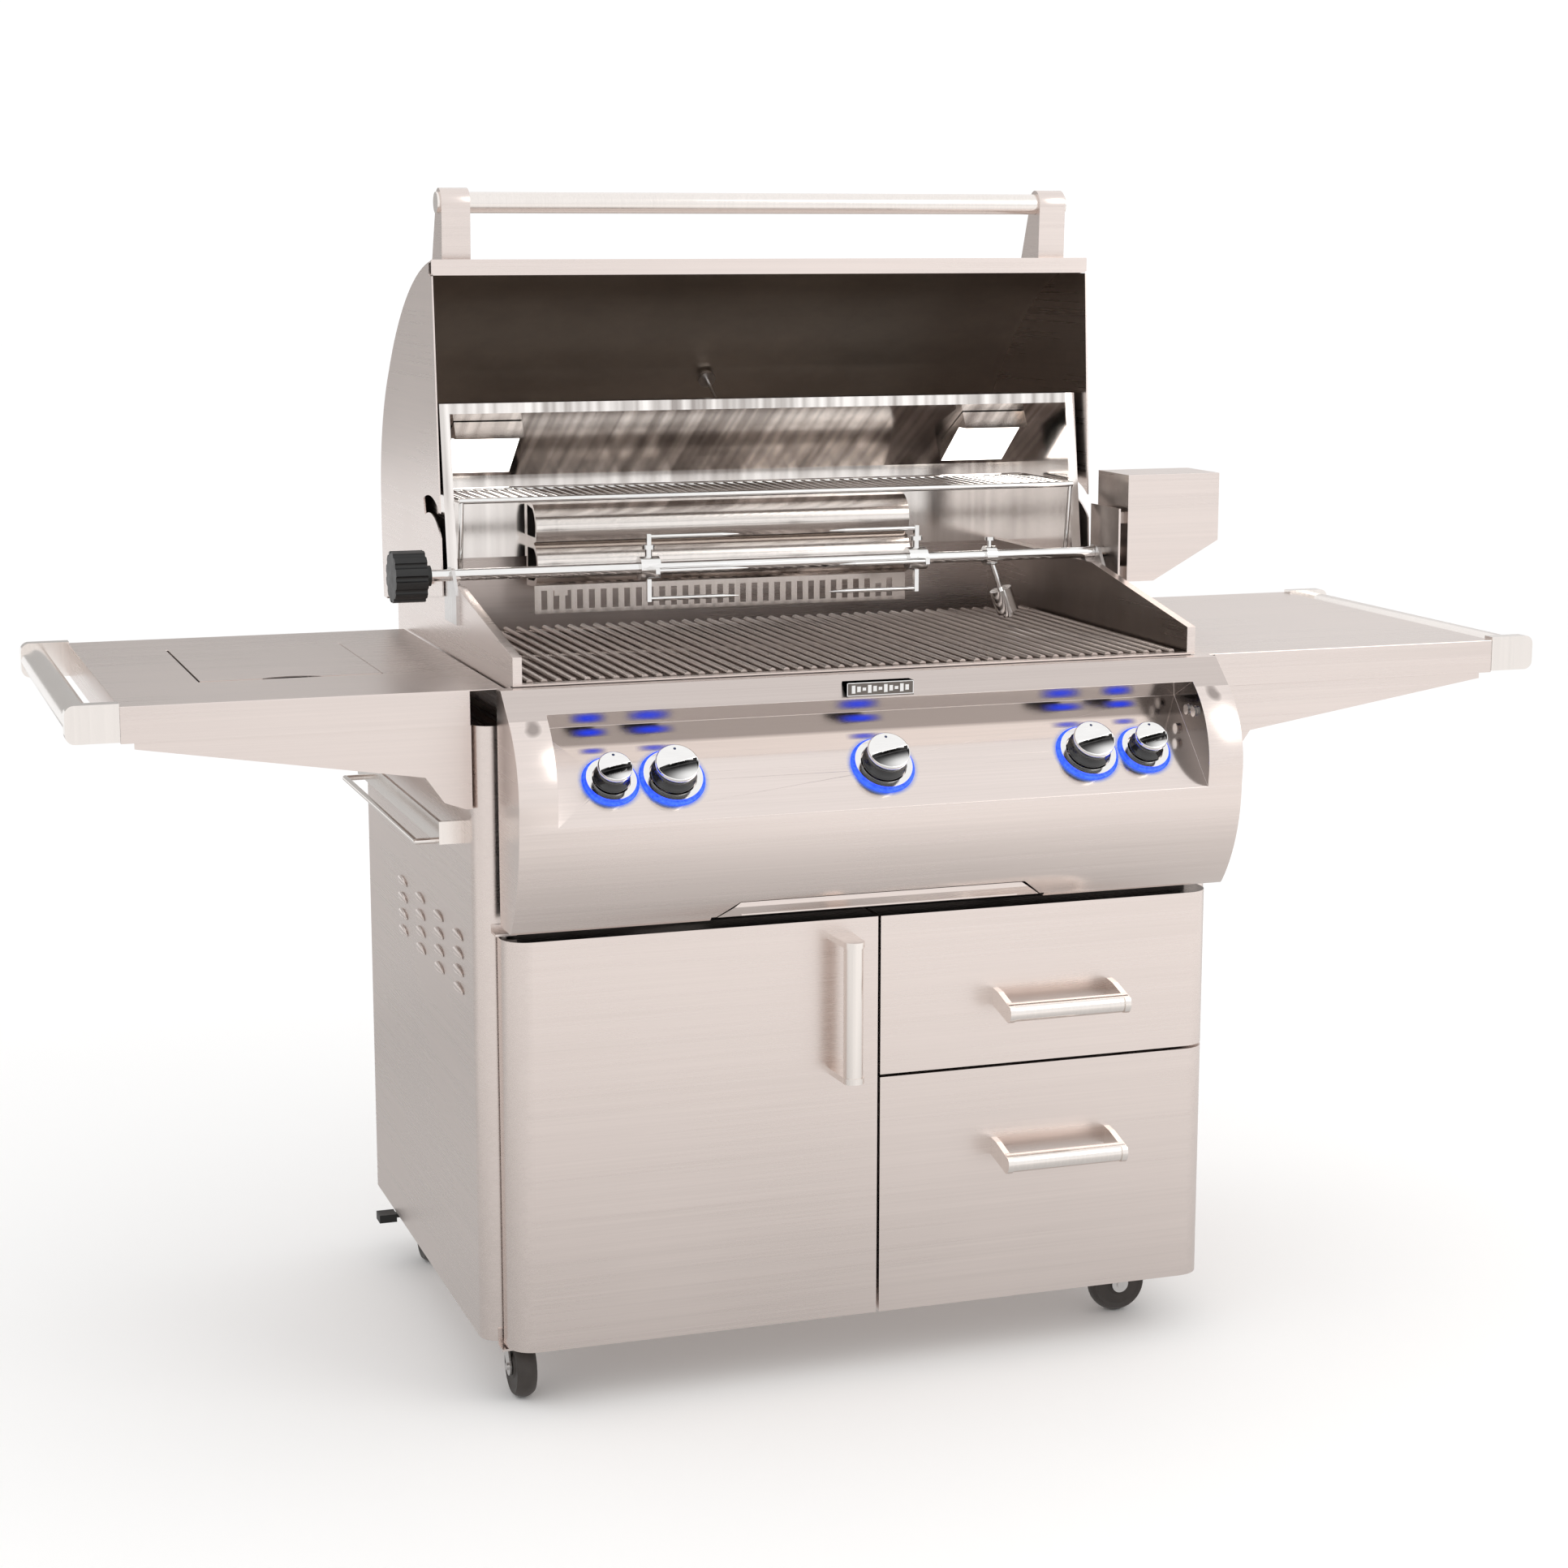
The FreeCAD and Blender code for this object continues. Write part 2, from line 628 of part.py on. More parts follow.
def cooking_grids():
    """Three grids of round bars that run front to back on two cross bars."""
    inner = cell.firebox_width - 2 * cell.firebox_wall - 8
    gap = 3
    width = inner / cell.grid_sections - gap
    grids = []
    radius = cell.grid_rod
    top = cell.grid_top - radius
    for section in range(int(cell.grid_sections)):
        left = -inner / 2 + section * (width + gap) + gap / 2
        count = int(width // cell.grid_pitch)
        start = left + (width - count * cell.grid_pitch) / 2
        bars = [rod(radius, (start + n * cell.grid_pitch, cell.grid_front, top),
                    (start + n * cell.grid_pitch, cell.grid_back, top)) for n in range(count + 1)]
        for y in (cell.grid_front + 5, -60, cell.grid_back - 5):
            end = start + count * cell.grid_pitch + 3
            bars.append(rod(radius, (start - 3, y, top - 5), (end, y, top - 5)))
        grids.append(fused(bars))
    return keep(feature(Part.makeCompound(grids)), "cooking_grids")


# ---------------------------------------------------------------- upper oven

def upper_oven():
    """The fixed liner above the grids: flanged front frame, end sheets, sloped roof and back."""
    half = cell.firebox_width / 2 - 2
    flange = cell.oven_flange
    low, top = cell.firebox_top, cell.oven_top
    front_low, front_top = cell.oven_front - 14, cell.oven_front + 22
    end = [(front_low, low), (front_top, top), (front_top + 40, top), (cell.oven_back, 1172),
           (cell.oven_back, low)]
    pieces = [prism(end, "yz", sign_low, sign_low + 2) for sign_low in (-half, half - 2)]
    for sign in (-1, 1):
        near, far = sorted((sign * half, sign * (half - flange)))
        edge = [(front_low, low), (front_top, top), (front_top + 3, top), (front_low + 3, low)]
        pieces.append(prism(edge, "yz", near, far))
    roof = [(front_top, top), (front_top + 40, top), (cell.oven_back, 1172), (cell.oven_back, low),
            (cell.oven_back - 2, low), (cell.oven_back - 2, 1171), (front_top + 39.4, top - 2),
            (front_top + 2, top - 2), (front_top + 1, top - 14), (front_top - 0.5, top - 14)]
    pieces.append(prism(roof, "yz", -half, half))
    return keep(feature(fused(pieces)), "upper_oven")


def rear_burner():
    """Two rolled reflectors, one above the other and open at their ends, over a slotted guard."""
    left, right = -290, 290
    back = cell.oven_back - 2
    outline = [(back, 1136), (back - 40, 1130), (back - 60, 1108, "arc"), (back - 58, 1077),
               (back - 44, 1074),
               (back - 68, 1043, "arc"), (back - 44, 1011), (back, 1008)]
    upper_hollow = [(back - 8, 1128), (back - 40, 1124), (back - 54, 1106, "arc"), (back - 54, 1083),
                    (back - 8, 1083)]
    lower_hollow = [(back - 8, 1066), (back - 44, 1066), (back - 61, 1043, "arc"), (back - 44, 1019),
                    (back - 8, 1017)]
    body = prism(outline, "yz", left, right)
    for hollow in (upper_hollow, lower_hollow):
        body = body.cut([prism(hollow, "yz", left - 1, left + 60),
                         prism(hollow, "yz", right - 60, right + 1)])
    guard = block((left, back - 46, cell.grid_top + 6), (right, back - 44, 1012))
    slots = [block((x, back - 60, cell.grid_top + 12), (x + 9, back - 30, 1004))
             for x in range(left + 10, right - 14, 18)]
    feet = [block((x, back - 45, 996), (x + 20, back + 2, 1010)) for x in (left + 30, right - 50)]
    return keep(feature(fused([body, guard.cut(slots)] + feet)), "rear_burner")


def interior_lights():
    """Two lamp housings under the sloped roof, with a flat lit face."""
    lamps = []
    for sign in (-1, 1):
        near, far = sorted((sign * 334, sign * 432))
        profile = [(164, 1259), (150, 1236), (178, 1236), (248, 1182), (266, 1204)]
        lamps.append(prism(profile, "yz", near, far))
    return keep(feature(Part.makeCompound(lamps)), "interior_lights")


def warming_rack():
    """A shelf of fine wires between a heavier front and back wire, with a leg at each end."""
    half = 447
    level = cell.rack_height
    wires = [rod(4, (-half - 8, cell.rack_front, level), (half + 8, cell.rack_front, level)),
             rod(4, (-half, cell.rack_back, level), (half, cell.rack_back, level))]
    count = int(2 * half // cell.rack_pitch)
    for n in range(count + 1):
        x = -count * cell.rack_pitch / 2 + n * cell.rack_pitch
        wires.append(rod(cell.rack_rod, (x, cell.rack_front, level), (x, cell.rack_back, level)))
    for sign in (-1, 1):
        x = sign * (half + 5)
        wires.append(rod(3.5, (x, cell.rack_front, level), (x, cell.rack_back, level)))
        wires.append(rod(3.5, (x, cell.rack_front, level), (x, cell.rack_front + 16, 1052)))
    return keep(feature(fused(wires)), "warming_rack")


# ---------------------------------------------------------------- rotisserie

def spit_supports():
    """A cradle plate on each end wall, with an open notch that the spit drops into."""
    cradles = []
    for sign in (-1, 1):
        near, far = sorted((sign * cell.firebox_width / 2, sign * (cell.firebox_width / 2 + 4.5)))
        plate = prism([(-38, 1000), (-38, 1040), (-14, 1072), (-8, 1074), (10, 1074), (20, 1066),
                       (34, 1040), (34, 1000)], "yz", near, far)
        y, z = cell.spit_back, cell.spit_height
        slot = rod(cell.spit_radius + 0.4, (near - 2, y, z), (far + 2, y, z))
        half_mouth = cell.spit_radius + 0.4
        mouth = block((near - 2, y - half_mouth, z), (far + 2, y + half_mouth, z + 30))
        cradles.append(plate.cut([slot, mouth]))
    return keep(feature(Part.makeCompound(cradles)), "spit_supports")


def rotisserie_motor():
    """A sheet-metal motor box with a chamfered lower corner, on a plate off the end wall."""
    case = prism([(503, 1025), (545, 1025), (647, 1081), (647, 1178), (503, 1178)], "xz", -53, 50)
    plate = block((490, -50, 958), (493, 46, 1130))
    foot = block((cell.firebox_width / 2, -50, 958), (493, 46, 961))
    spacer = [block((492, y, z), (504, y + 16, z + 16)) for y in (-40, 22) for z in (1030, 1108)]
    y, z = cell.spit_back, cell.spit_height
    socket = rod(cell.spit_radius + 0.4, (480, y, z), (cell.spit_right + 2, y, z))
    boss = rod(16, (493, y, z), (504, y, z))
    return keep(feature(fused([case, plate, foot, boss] + spacer).cut(socket)), "rotisserie_motor")


def spit_rod():
    return keep(cylinder("spit_radius", ("spit_left", "spit_back", "spit_height"),
                         "spit_right - spit_left", "x"), "spit_rod")


def spike(start, way, length, radius):
    """A pointed round prong along X, turned from one outline."""
    x, y, z = start
    shank = length - 24
    outline = [(x, y), (x, y + radius), (x + way * shank, y + radius), (x + way * length, y + 0.6),
               (x + way * length, y)]
    face = Part.Face(outline_wire(outline, "xy", z))
    return face.revolve(vec(x, y, z), vec(1, 0, 0), 360)


def spit_forks():
    """Two hubs, each with four prongs that point at the other."""
    forks = []
    y, z = cell.spit_back, cell.spit_height
    for sign in (-1, 1):
        x = sign * cell.fork_middle
        hub = rod(16, (x - 14, y, z), (x + 14, y, z))
        plate = [block((x - 3, y - cell.prong_spread, z - 4), (x + 3, y + cell.prong_spread, z + 4)),
                 block((x - 3, y - 4, z - cell.prong_spread), (x + 3, y + 4, z + cell.prong_spread))]
        spread = cell.prong_spread - 4
        prongs = [spike((x - sign, y + dy, z + dz), -sign, cell.prong_length, cell.prong_radius)
                  for dy, dz in ((spread, 0), (-spread, 0), (0, spread), (0, -spread))]
        screw = [rod(5, (x, y, z + 12), (x, y, z + 26)), rod(9, (x, y, z + 26), (x, y, z + 32))]
        bore = rod(cell.spit_radius, (x - 40, y, z), (x + 40, y, z))
        forks.append(hub.fuse(plate + prongs + screw).cut(bore))
    return keep(feature(Part.makeCompound(forks)), "spit_forks")


def spit_grip():
    """A fluted black handle on the outer end of the spit."""
    y, z = cell.spit_back, cell.spit_height
    start = cell.spit_left - cell.spit_grip_length + 6
    grip = rod(cell.spit_grip_radius, (start, y, z), (start + cell.spit_grip_length, y, z))
    flutes = 12
    for n in range(flutes):
        angle = 2 * math.pi * n / flutes
        fy = y + (cell.spit_grip_radius + 1) * math.cos(angle)
        fz = z + (cell.spit_grip_radius + 1) * math.sin(angle)
        grip = grip.cut(rod(4.5, (start - 1, fy, fz), (start + cell.spit_grip_length + 1, fy, fz)))
    collar = rod(14, (start + cell.spit_grip_length - 1, y, z), (start + cell.spit_grip_length + 9, y, z))
    bore = rod(cell.spit_radius, (cell.spit_left, y, z), (cell.spit_left + 40, y, z))
    return keep(feature(fused([grip, collar]).cut(bore)), "spit_grip")


def counterweight():
    """A collar on the spit with a slanted arm and a round weight held by a thumb nut."""
    y, z = cell.spit_back, cell.spit_height
    x = cell.weight_x
    lean = math.radians(20)

    def along(distance):
        return x + distance * math.sin(lean), y, z - distance * math.cos(lean)

    collar = rod(14, (x - 8, y, z), (x + 8, y, z))
    arm = rod(4, along(8), along(94))
    weight = rod(16, along(52), along(87))
    nut = rod(8, along(87), along(94))
    screw = [rod(3, (x, y, z + 10), (x, y, z + 22)), rod(7, (x, y, z + 22), (x, y, z + 27))]
    bore = rod(cell.spit_radius, (x - 20, y, z), (x + 20, y, z))
    return keep(feature(fused([collar, arm, weight, nut] + screw).cut(bore)), "counterweight")


# ---------------------------------------------------------------- hood

def hood_outline(grow):
    """The end profile of the raised hood; the skin follows its back and top."""
    return [(61, 1483), (204, 1442, "arc"), (362, 1323), (428, 1216, "arc"), (441, 1130),
            (440, 1040, "arc"), (436 + grow, 986)]


def hood_skin():
    """One rolled sheet over the back and top, with a return along the front lip."""
    half = cell.hood_width / 2
    shell = strip(hood_outline(0), "yz", -half, half, cell.hood_skin)
    lip = block((-half, 59, 1465), (half, 61.5, 1484.2))
    under = block((-half + 2, 59, 1463), (half - 2, 74, 1465))
    hem = block((-half + 2, 422, 985), (half - 2, 436, 987))
    middle, out = thermometer_place()
    hole = Part.makeCylinder(6, 60, middle - out * 30, out)
    return keep(feature(fused([shell, lip, under, hem]).cut(hole)), "hood_skin")


def hood_ends():
    """The two end plates, each with a slot that clears the spit as the hood turns."""
    half = cell.hood_width / 2
    outline = hood_outline(-1) + [(275, 1004), (30, 1032)]
    plates = []
    for sign in (-1, 1):
        near, far = sorted((sign * (half - cell.hood_skin), sign * half))
        plate = prism(outline, "yz", near, far)
        skin = strip(hood_outline(0), "yz", near - 1, far + 1, cell.hood_skin)
        edge = block((near, 58, 1462), (far, 76, 1490))
        plate = plate.cut([skin, edge])
        y, z = cell.hood_axis_back, cell.hood_axis_height
        reach = math.hypot(y - cell.spit_back, z - cell.spit_height)
        ring = rod(reach + 12, (near - 2, y, z), (far + 2, y, z))
        ring = ring.cut(rod(reach - 12, (near - 3, y, z), (far + 3, y, z)))
        sector = prism([(y, z), (y + 55, z + 150), (y - 200, z + 150), (y - 200, z)], "yz",
                       near - 2, far + 2)
        trunnion_hole = rod(9 + cell.bearing_clearance, (near - 3, y, z), (far + 3, y, z))
        plate = plate.cut([ring.common(sector), trunnion_hole])
        plates.append(max(plate.Solids, key=lambda solid: solid.Volume))
    return keep(feature(Part.makeCompound(plates)), "hood_ends")


def hood_trunnions():
    """The two fixed pins and their collars that carry the hood, on the firebox's end walls."""
    y, z = cell.hood_axis_back, cell.hood_axis_height
    pins = []
    for sign in (-1, 1):
        inner = sign * cell.firebox_width / 2
        pins.append(rod(9, (inner - sign, y, z), (inner + sign * 12, y, z)))
        pins.append(rod(14, (inner, y, z), (inner + sign * 5, y, z)))
    return pins


def hood_handle():
    half = cell.hood_bracket_middle + cell.hood_bracket_width / 2
    bar = rod(cell.hood_handle_radius, (-half - 4, cell.hood_handle_back, cell.hood_handle_height),
              (half + 4, cell.hood_handle_back, cell.hood_handle_height))
    return keep(feature(bar), "hood_handle")


def hood_brackets():
    """Two tapering feet that carry the handle off the hood's skin."""
    y, z = cell.hood_handle_back, cell.hood_handle_height
    feet = []
    for sign in (-1, 1):
        near, far = sorted((sign * (cell.hood_bracket_middle - cell.hood_bracket_width / 2),
                            sign * (cell.hood_bracket_middle + cell.hood_bracket_width / 2)))
        outline = [(92, 1478), (y - 19, z - 4), (y, z + 20, "arc"), (y + 19, z - 4), (164, 1459)]
        foot = prism(outline, "yz", near, far)
        skin_clear = strip(hood_outline(0), "yz", near - 1, far + 1, cell.hood_skin)
        below = block((near - 1, 40, 1380), (far + 1, 92.5, 1478.6))
        handle = rod(cell.hood_handle_radius, (near - 2, y, z), (far + 2, y, z))
        foot = foot.cut([skin_clear, below, handle])
        feet.append(max(foot.Solids, key=lambda solid: solid.Volume))
    return keep(feature(Part.makeCompound(feet)), "hood_brackets")


def thermometer_place():
    """The dial's middle on the hood's skin, and the way it faces."""
    return vec(0, 372.5, 1310), vec(0, 0.87, 0.5).normalize()


def thermometer():
    """A dial seated on the outside of the hood, its nut on the inside and the probe."""
    middle, out = thermometer_place()
    skin_clear = strip(hood_outline(0), "yz", -60, 60, cell.hood_skin)
    dial = Part.makeCylinder(32, 16, middle + out * 0.4, out).cut(skin_clear)
    dial = max(dial.Solids, key=lambda solid: solid.Volume)
    neck = Part.makeCylinder(5.9, 17, middle - out * 13, out)
    nut = Part.makeCylinder(13, 6, middle - out * 15, out)
    probe = Part.makeCylinder(2.2, 60, middle - out * 73, out)
    return keep(feature(fused([dial, neck, nut, probe])), "thermometer")


# ---------------------------------------------------------------- shelves

def shelf(side, label, with_opening):
    """A folded top with aprons on three sides, open underneath."""
    top, drop = cell.shelf_top, cell.shelf_drop
    inner, join, outer = 477, 521, cell.shelf_reach
    front, back = cell.shelf_front, cell.shelf_back

    def span(a, b):
        return sorted((side * a, side * b))

    plate = block((span(inner, outer)[0], front, top - 2), (span(inner, outer)[1], back, top))
    pieces = [plate]
    for y in (front, back - 2):
        low, high = span(join, outer)
        pieces.append(block((low, y, top - drop), (high, y + 2, top - 1)))
    for edge in (outer - 2, join):
        low, high = span(edge, edge + 2)
        pieces.append(block((low, front, top - drop), (high, back, top - 1)))
    body = fused(pieces)
    if with_opening:
        body = body.cut(block((cell.lid_left, cell.lid_front, 800),
                              (cell.lid_right, cell.lid_back, 1000)))
    return keep(feature(body), label)


def shelf_gussets():
    """Four triangular sheet brackets between the cart's sides and the shelves."""
    top = cell.shelf_top - cell.shelf_drop
    gussets = []
    for side in (-1, 1):
        corners = [(940, top), (940, 898), (580, 842), (556, 808), (528, 798), (521, 798), (521, top)]
        outline = [(side * x, z) for x, z in corners]
        for y, inward in ((cell.shelf_front + 4, 1), (cell.shelf_back - 6, -1)):
            web = prism(outline, "xz", y, y + 2)
            low, high = sorted((side * 520, side * 522))
            tab = sorted((y, y + inward * 30))
            foot = block((low, tab[0], 798), (high, tab[1] + 2, top))
            gussets.append(fused([web, foot]))
    return keep(feature(Part.makeCompound(gussets)), "shelf_gussets")


def shelf_rails():
    """A round rail along each shelf's outer end, held between two flat end caps."""
    rails = []
    far = cell.overall_width / 2
    half_height = cell.rail_cap_height / 2
    for side in (-1, 1):
        x = side * (far - cell.rail_radius)
        bar = rod(cell.rail_radius, (x, cell.shelf_front + 5, cell.rail_height),
                  (x, cell.shelf_back - 5, cell.rail_height))
        low, high = sorted((side * cell.shelf_reach, side * far))
        pieces = [bar]
        for y in (cell.shelf_front, cell.shelf_back - cell.rail_cap_depth):
            cap = block((low, y, cell.rail_height - half_height),
                        (high, y + cell.rail_cap_depth, cell.rail_height + half_height))
            corners = [edge for edge in cap.Edges if abs(edge.CenterOfMass.x - side * far) < 0.01
                       and abs(edge.CenterOfMass.y - y - cell.rail_cap_depth / 2) < 0.01]
            pieces.append(cap.makeFillet(12, corners))
        rails.append(fused(pieces))
    return keep(feature(Part.makeCompound(rails)), "shelf_rails")


LID_PIN = 2
LID_AXIS = (186, 945)


def side_burner():
    """A pan hung under the left shelf, with a round burner head and a four-bar grate."""
    left, right = cell.lid_left - 2, cell.lid_right + 2
    front, back = cell.lid_front - 2, cell.lid_back + 2
    top = cell.shelf_top - 2
    shell = block((left - 1.5, front - 1.5, 888), (right + 1.5, back + 1.5, top))
    shell = shell.cut(block((left, front, 889.5), (right, back, 1000)))
    rim = block((left - 12, front - 12, top - 1.5), (right + 12, back + 12, top))
    rim = rim.cut(block((left, front, 900), (right, back, 1000)))
    pin_hole = rod(LID_PIN + cell.bearing_clearance, (left - 9, *LID_AXIS), (right + 9, *LID_AXIS))
    pan = fused([shell, rim]).cut(pin_hole)
    x, y = (left + right) / 2, (front + back) / 2
    head = fused([rod(46, (x, y, 896), (x, y, 908)), rod(30, (x, y, 908), (x, y, 914)),
                  rod(14, (x, y, 889.5), (x, y, 900))])
    bars = [rod(4, (x - 100, y + dy, 926), (x + 100, y + dy, 926)) for dy in (-60, 60)]
    bars += [rod(4, (x + dx, y - 130, 926), (x + dx, y + 130, 926)) for dx in (-60, 0, 60)]
    bars += [rod(4, (x + dx, y + dy, 889.5), (x + dx, y + dy, 926))
             for dx in (-60, 60) for dy in (-110, 110)]
    return keep(feature(Part.makeCompound([pan, head, fused(bars)])), "side_burner")


def side_burner_lid():
    """A flush folded lid with a finger notch in its front edge and a hinge pin in each side."""
    gap = cell.lid_gap
    left, right = cell.lid_left + gap, cell.lid_right - gap
    front, back = cell.lid_front + gap, cell.lid_back - gap
    top = cell.shelf_top + 0.5
    lid = block((left, front, top - 9), (right, back, top))
    lid = lid.cut(block((left + 1.5, front + 1.5, top - 30), (right - 1.5, back - 1.5, top - 1.5)))
    middle = (left + right) / 2
    notch = prism([(middle - 38, front - 5), (middle - 38, front), (middle, front + 12, "arc"),
                   (middle + 38, front), (middle + 38, front - 5)], "xy", 900, 1000)
    pins = [rod(LID_PIN, (x, *LID_AXIS), (x + way * 6, *LID_AXIS))
            for x, way in ((left + 1, -1), (right - 1, 1))]
    return keep(feature(fused([lid.cut(notch)] + pins)), "side_burner_lid")


def towel_rail():
    """A flat bar off the left side panel, with a wire loop outside it."""
    wall = -cell.cart_width / 2
    front, back = -250, 300
    bar = block((wall - 34, front, 745), (wall - 30, back, 775))
    ends = [block((wall - 34, y, 745), (wall, y + 4, 775)) for y in (front, back - 4)]
    x = wall - 58
    loop = [rod(4, (x, front + 30, 745), (x, back - 30, 745))]
    for y in (front + 30, back - 30):
        loop.append(rod(4, (wall - 30, y, 745), (x, y, 745)))
        loop.append(Part.makeSphere(4, vec(x, y, 745)))
    shell = fused([bar] + ends + loop)
    return keep(feature(shell), "towel_rail")


def drip_tray():
    """A shallow tray whose face closes the notch in the panel's lower edge."""
    half = cell.tray_half_width
    low, high = half, half - cell.tray_slant
    face = prism([(-low, cell.panel_bottom), (low, cell.panel_bottom), (high, 675), (-high, 675)],
                 "xz", -401, -391)
    solid = prism(panel_outline(), "yz", -half, half)
    face = face.common(solid)
    tub_front, tub_back = -393, -393 + cell.tray_depth
    tub_half = cell.tray_half_width - cell.tray_slant - 3
    tub = block((-tub_half, tub_front, 656), (tub_half, tub_back, 675))
    tub = tub.cut(block((-tub_half + 1.5, tub_front + 1.5, 657.5),
                        (tub_half - 1.5, tub_back - 1.5, 700)))
    return keep(feature(fused([face, tub])), "drip_tray")


# ---------------------------------------------------------------- casters

CASTERS = {
    "front_left": (-1, "caster_front", (0, -1)),
    "front_right": (1, "caster_front", (-1, 0)),
    "rear_left": (-1, "caster_back", (0, -1)),
    "rear_right": (1, "caster_back", (-1, 0)),
}


def caster_frame(corner):
    """A placement whose +X is the caster's trail and whose origin is below its stem."""
    side, back_alias, trail = CASTERS[corner]
    turn = math.degrees(math.atan2(trail[1], trail[0]))
    return FreeCAD.Placement(vec(side * cell.caster_x, getattr(cell, back_alias), 0),
                             FreeCAD.Rotation(vec(0, 0, 1), turn))


# the side of the fork that each foot lever hangs on, in the caster's own frame
BRAKES = {"front_left": 1, "rear_left": -1}
LEVER_PIN = 2.2


def lever_pivot(corner):
    """The foot lever's pivot in the caster's own frame: beside the outer face of a leg."""
    leg_face = cell.wheel_width / 2 + 4
    return cell.caster_trail * 0.55, BRAKES[corner] * (leg_face + 6), 70


def caster_fork(corner):
    """A round top plate and two legs that carry the axle pin, with ears for a foot lever."""
    top = cell.floor_height - 5
    gap = cell.wheel_width / 2 + 1.5
    trail = cell.caster_trail
    disc = rod(30, (0, 0, top - 4), (0, 0, top))
    bridge = block((-16, -gap - 1, top - 4), (24, gap + 1, top))
    legs = []
    for sign in (-1, 1):
        near, far = sorted((sign * gap, sign * (gap + 2.5)))
        outline = [(-16, top - 1), (24, top - 1), (trail + 12, cell.wheel_radius + 4),
                   (trail, cell.wheel_radius - 12, "arc"), (trail - 12, cell.wheel_radius + 2)]
        legs.append(prism(outline, "xz", near, far))
    axle = rod(cell.axle_radius, (trail, -gap - 5, cell.wheel_radius), (trail, gap + 5, cell.wheel_radius))
    pieces = [disc, bridge, axle] + legs
    if corner in BRAKES:
        x, y, z = lever_pivot(corner)
        leg_face = BRAKES[corner] * (gap + 1)
        near, far = sorted((leg_face, y + BRAKES[corner] * 4))
        pieces += [block((x + low, near, z - 5), (x + low + 2.5, far, z + 5)) for low in (-10, 7.5)]
        pieces.append(rod(LEVER_PIN, (x - 9, y, z), (x + 9, y, z)))
    stem_bore = rod(8 + cell.bearing_clearance, (0, 0, 60), (0, 0, 200))
    return keep(feature(fused(pieces).cut(stem_bore), caster_frame(corner)), f"caster_fork_{corner}")


def caster_wheel(corner):
    """A tyre with rounded shoulders and a hub, bored for the axle."""
    half = cell.wheel_width / 2
    radius, bore = cell.wheel_radius, cell.axle_radius + cell.bearing_clearance
    section = [(bore, -half), (14, -half), (17, -half + 2), (radius - 12, -half + 2), (radius - 6, -half),
               (radius, 0, "arc"), (radius - 6, half), (radius - 12, half - 2), (17, half - 2), (14, half),
               (bore, half)]
    profile = Part.Face(outline_wire(section, "xy", 0))
    wheel = profile.revolve(vec(0, 0, 0), vec(0, 1, 0), 360)
    hub = FreeCAD.Placement(vec(cell.caster_trail, 0, radius), FreeCAD.Rotation())
    place = caster_frame(corner).multiply(hub)
    return keep(feature(wheel, place), f"caster_wheel_{corner}")


def brake_lever(corner):
    """A foot lever that pivots on the fork's ears and stands out to one side."""
    way = BRAKES[corner]
    x, y, z = lever_pivot(corner)
    near, far = sorted((y, y + way * 30))
    arm = block((x - 5, near, z - 4), (x + 5, far, z + 2))
    near, far = sorted((y + way * 24, y + way * 50))
    pad = block((x - 13, near, z - 8), (x + 13, far, z + 4))
    barrel = rod(5, (x - 6.5, y, z), (x + 6.5, y, z))
    bore = rod(LEVER_PIN + cell.bearing_clearance, (x - 20, y, z), (x + 20, y, z))
    return keep(feature(fused([arm, pad, barrel]).cut(bore), caster_frame(corner)), f"brake_lever_{corner}")


# ---------------------------------------------------------------- build

side_panel(-1, "left_side_panel", True)
side_panel(1, "right_side_panel", False)
back_panel()
floor_pan()
cart_frame()
door_shell()
door_edges = front_edges()
door_pull_place = (door_edges[1] - cell.door_pull_inset, cell.door_pull_middle)
pull_handle(door_pull_place, cell.door_pull_length, "z", "door_pull")
drawer_middle = (door_edges[2] + door_edges[3]) / 2 + 6
DRAWERS = {"upper_drawer": (418, 634, 440, 590, 502), "lower_drawer": (87, 414, 120, 360, 294)}
for name, (low_edge, high_edge, tray_low, tray_high, pull_level) in DRAWERS.items():
    drawer(low_edge, high_edge, tray_low, tray_high, name)
    pull_handle((drawer_middle, pull_level), cell.pull_length, "x", f"{name}_pull")
drawer_slides([510, 240])
control_panel()
badge()
for index, label in enumerate(("knob_light_button", "oven_light_button")):
    light_button(index, label)
for (x, radius), alias, place_name in zip(
        knob_positions(),
        ("small_knob_radius", "large_knob_radius", "large_knob_radius", "large_knob_radius", "small_knob_radius"),
        ("rear_burner", "left", "middle", "right", "side_burner")):
    knob(x, alias, f"{place_name}_knob")
knob_bezels()
knob_light_rings()
gas_manifold()
firebox()
main_burners()
cooking_grids()
upper_oven()
rear_burner()
interior_lights()
warming_rack()
spit_supports()
rotisserie_motor()
spit_rod()
spit_forks()
spit_grip()
counterweight()
hood_skin()
hood_ends()
hood_handle()
hood_brackets()
thermometer()
shelf(-1, "left_shelf", True)
shelf(1, "right_shelf", False)
shelf_gussets()
shelf_rails()
side_burner()
side_burner_lid()
towel_rail()
drip_tray()
for corner in CASTERS:
    caster_fork(corner)
    caster_wheel(corner)
for corner in BRAKES:
    brake_lever(corner)

doc.recompute()
for item in doc.Objects:
    if {"Invalid", "Error"} & set(item.State):
        raise RuntimeError(f"{item.Name} failed: {item.State}")
os.makedirs("parts", exist_ok=True)
for item in subparts:
    shape = item.Shape
    if shape.isNull() or not shape.isValid() or not shape.Solids:
        raise RuntimeError(f"{item.Label} has no valid solid")
    shape.exportStep(f"parts/{item.Label}.step")
    print(item.Label, len(shape.Solids), round(shape.Volume / 1000, 1))
print(len(subparts), "sub-parts")
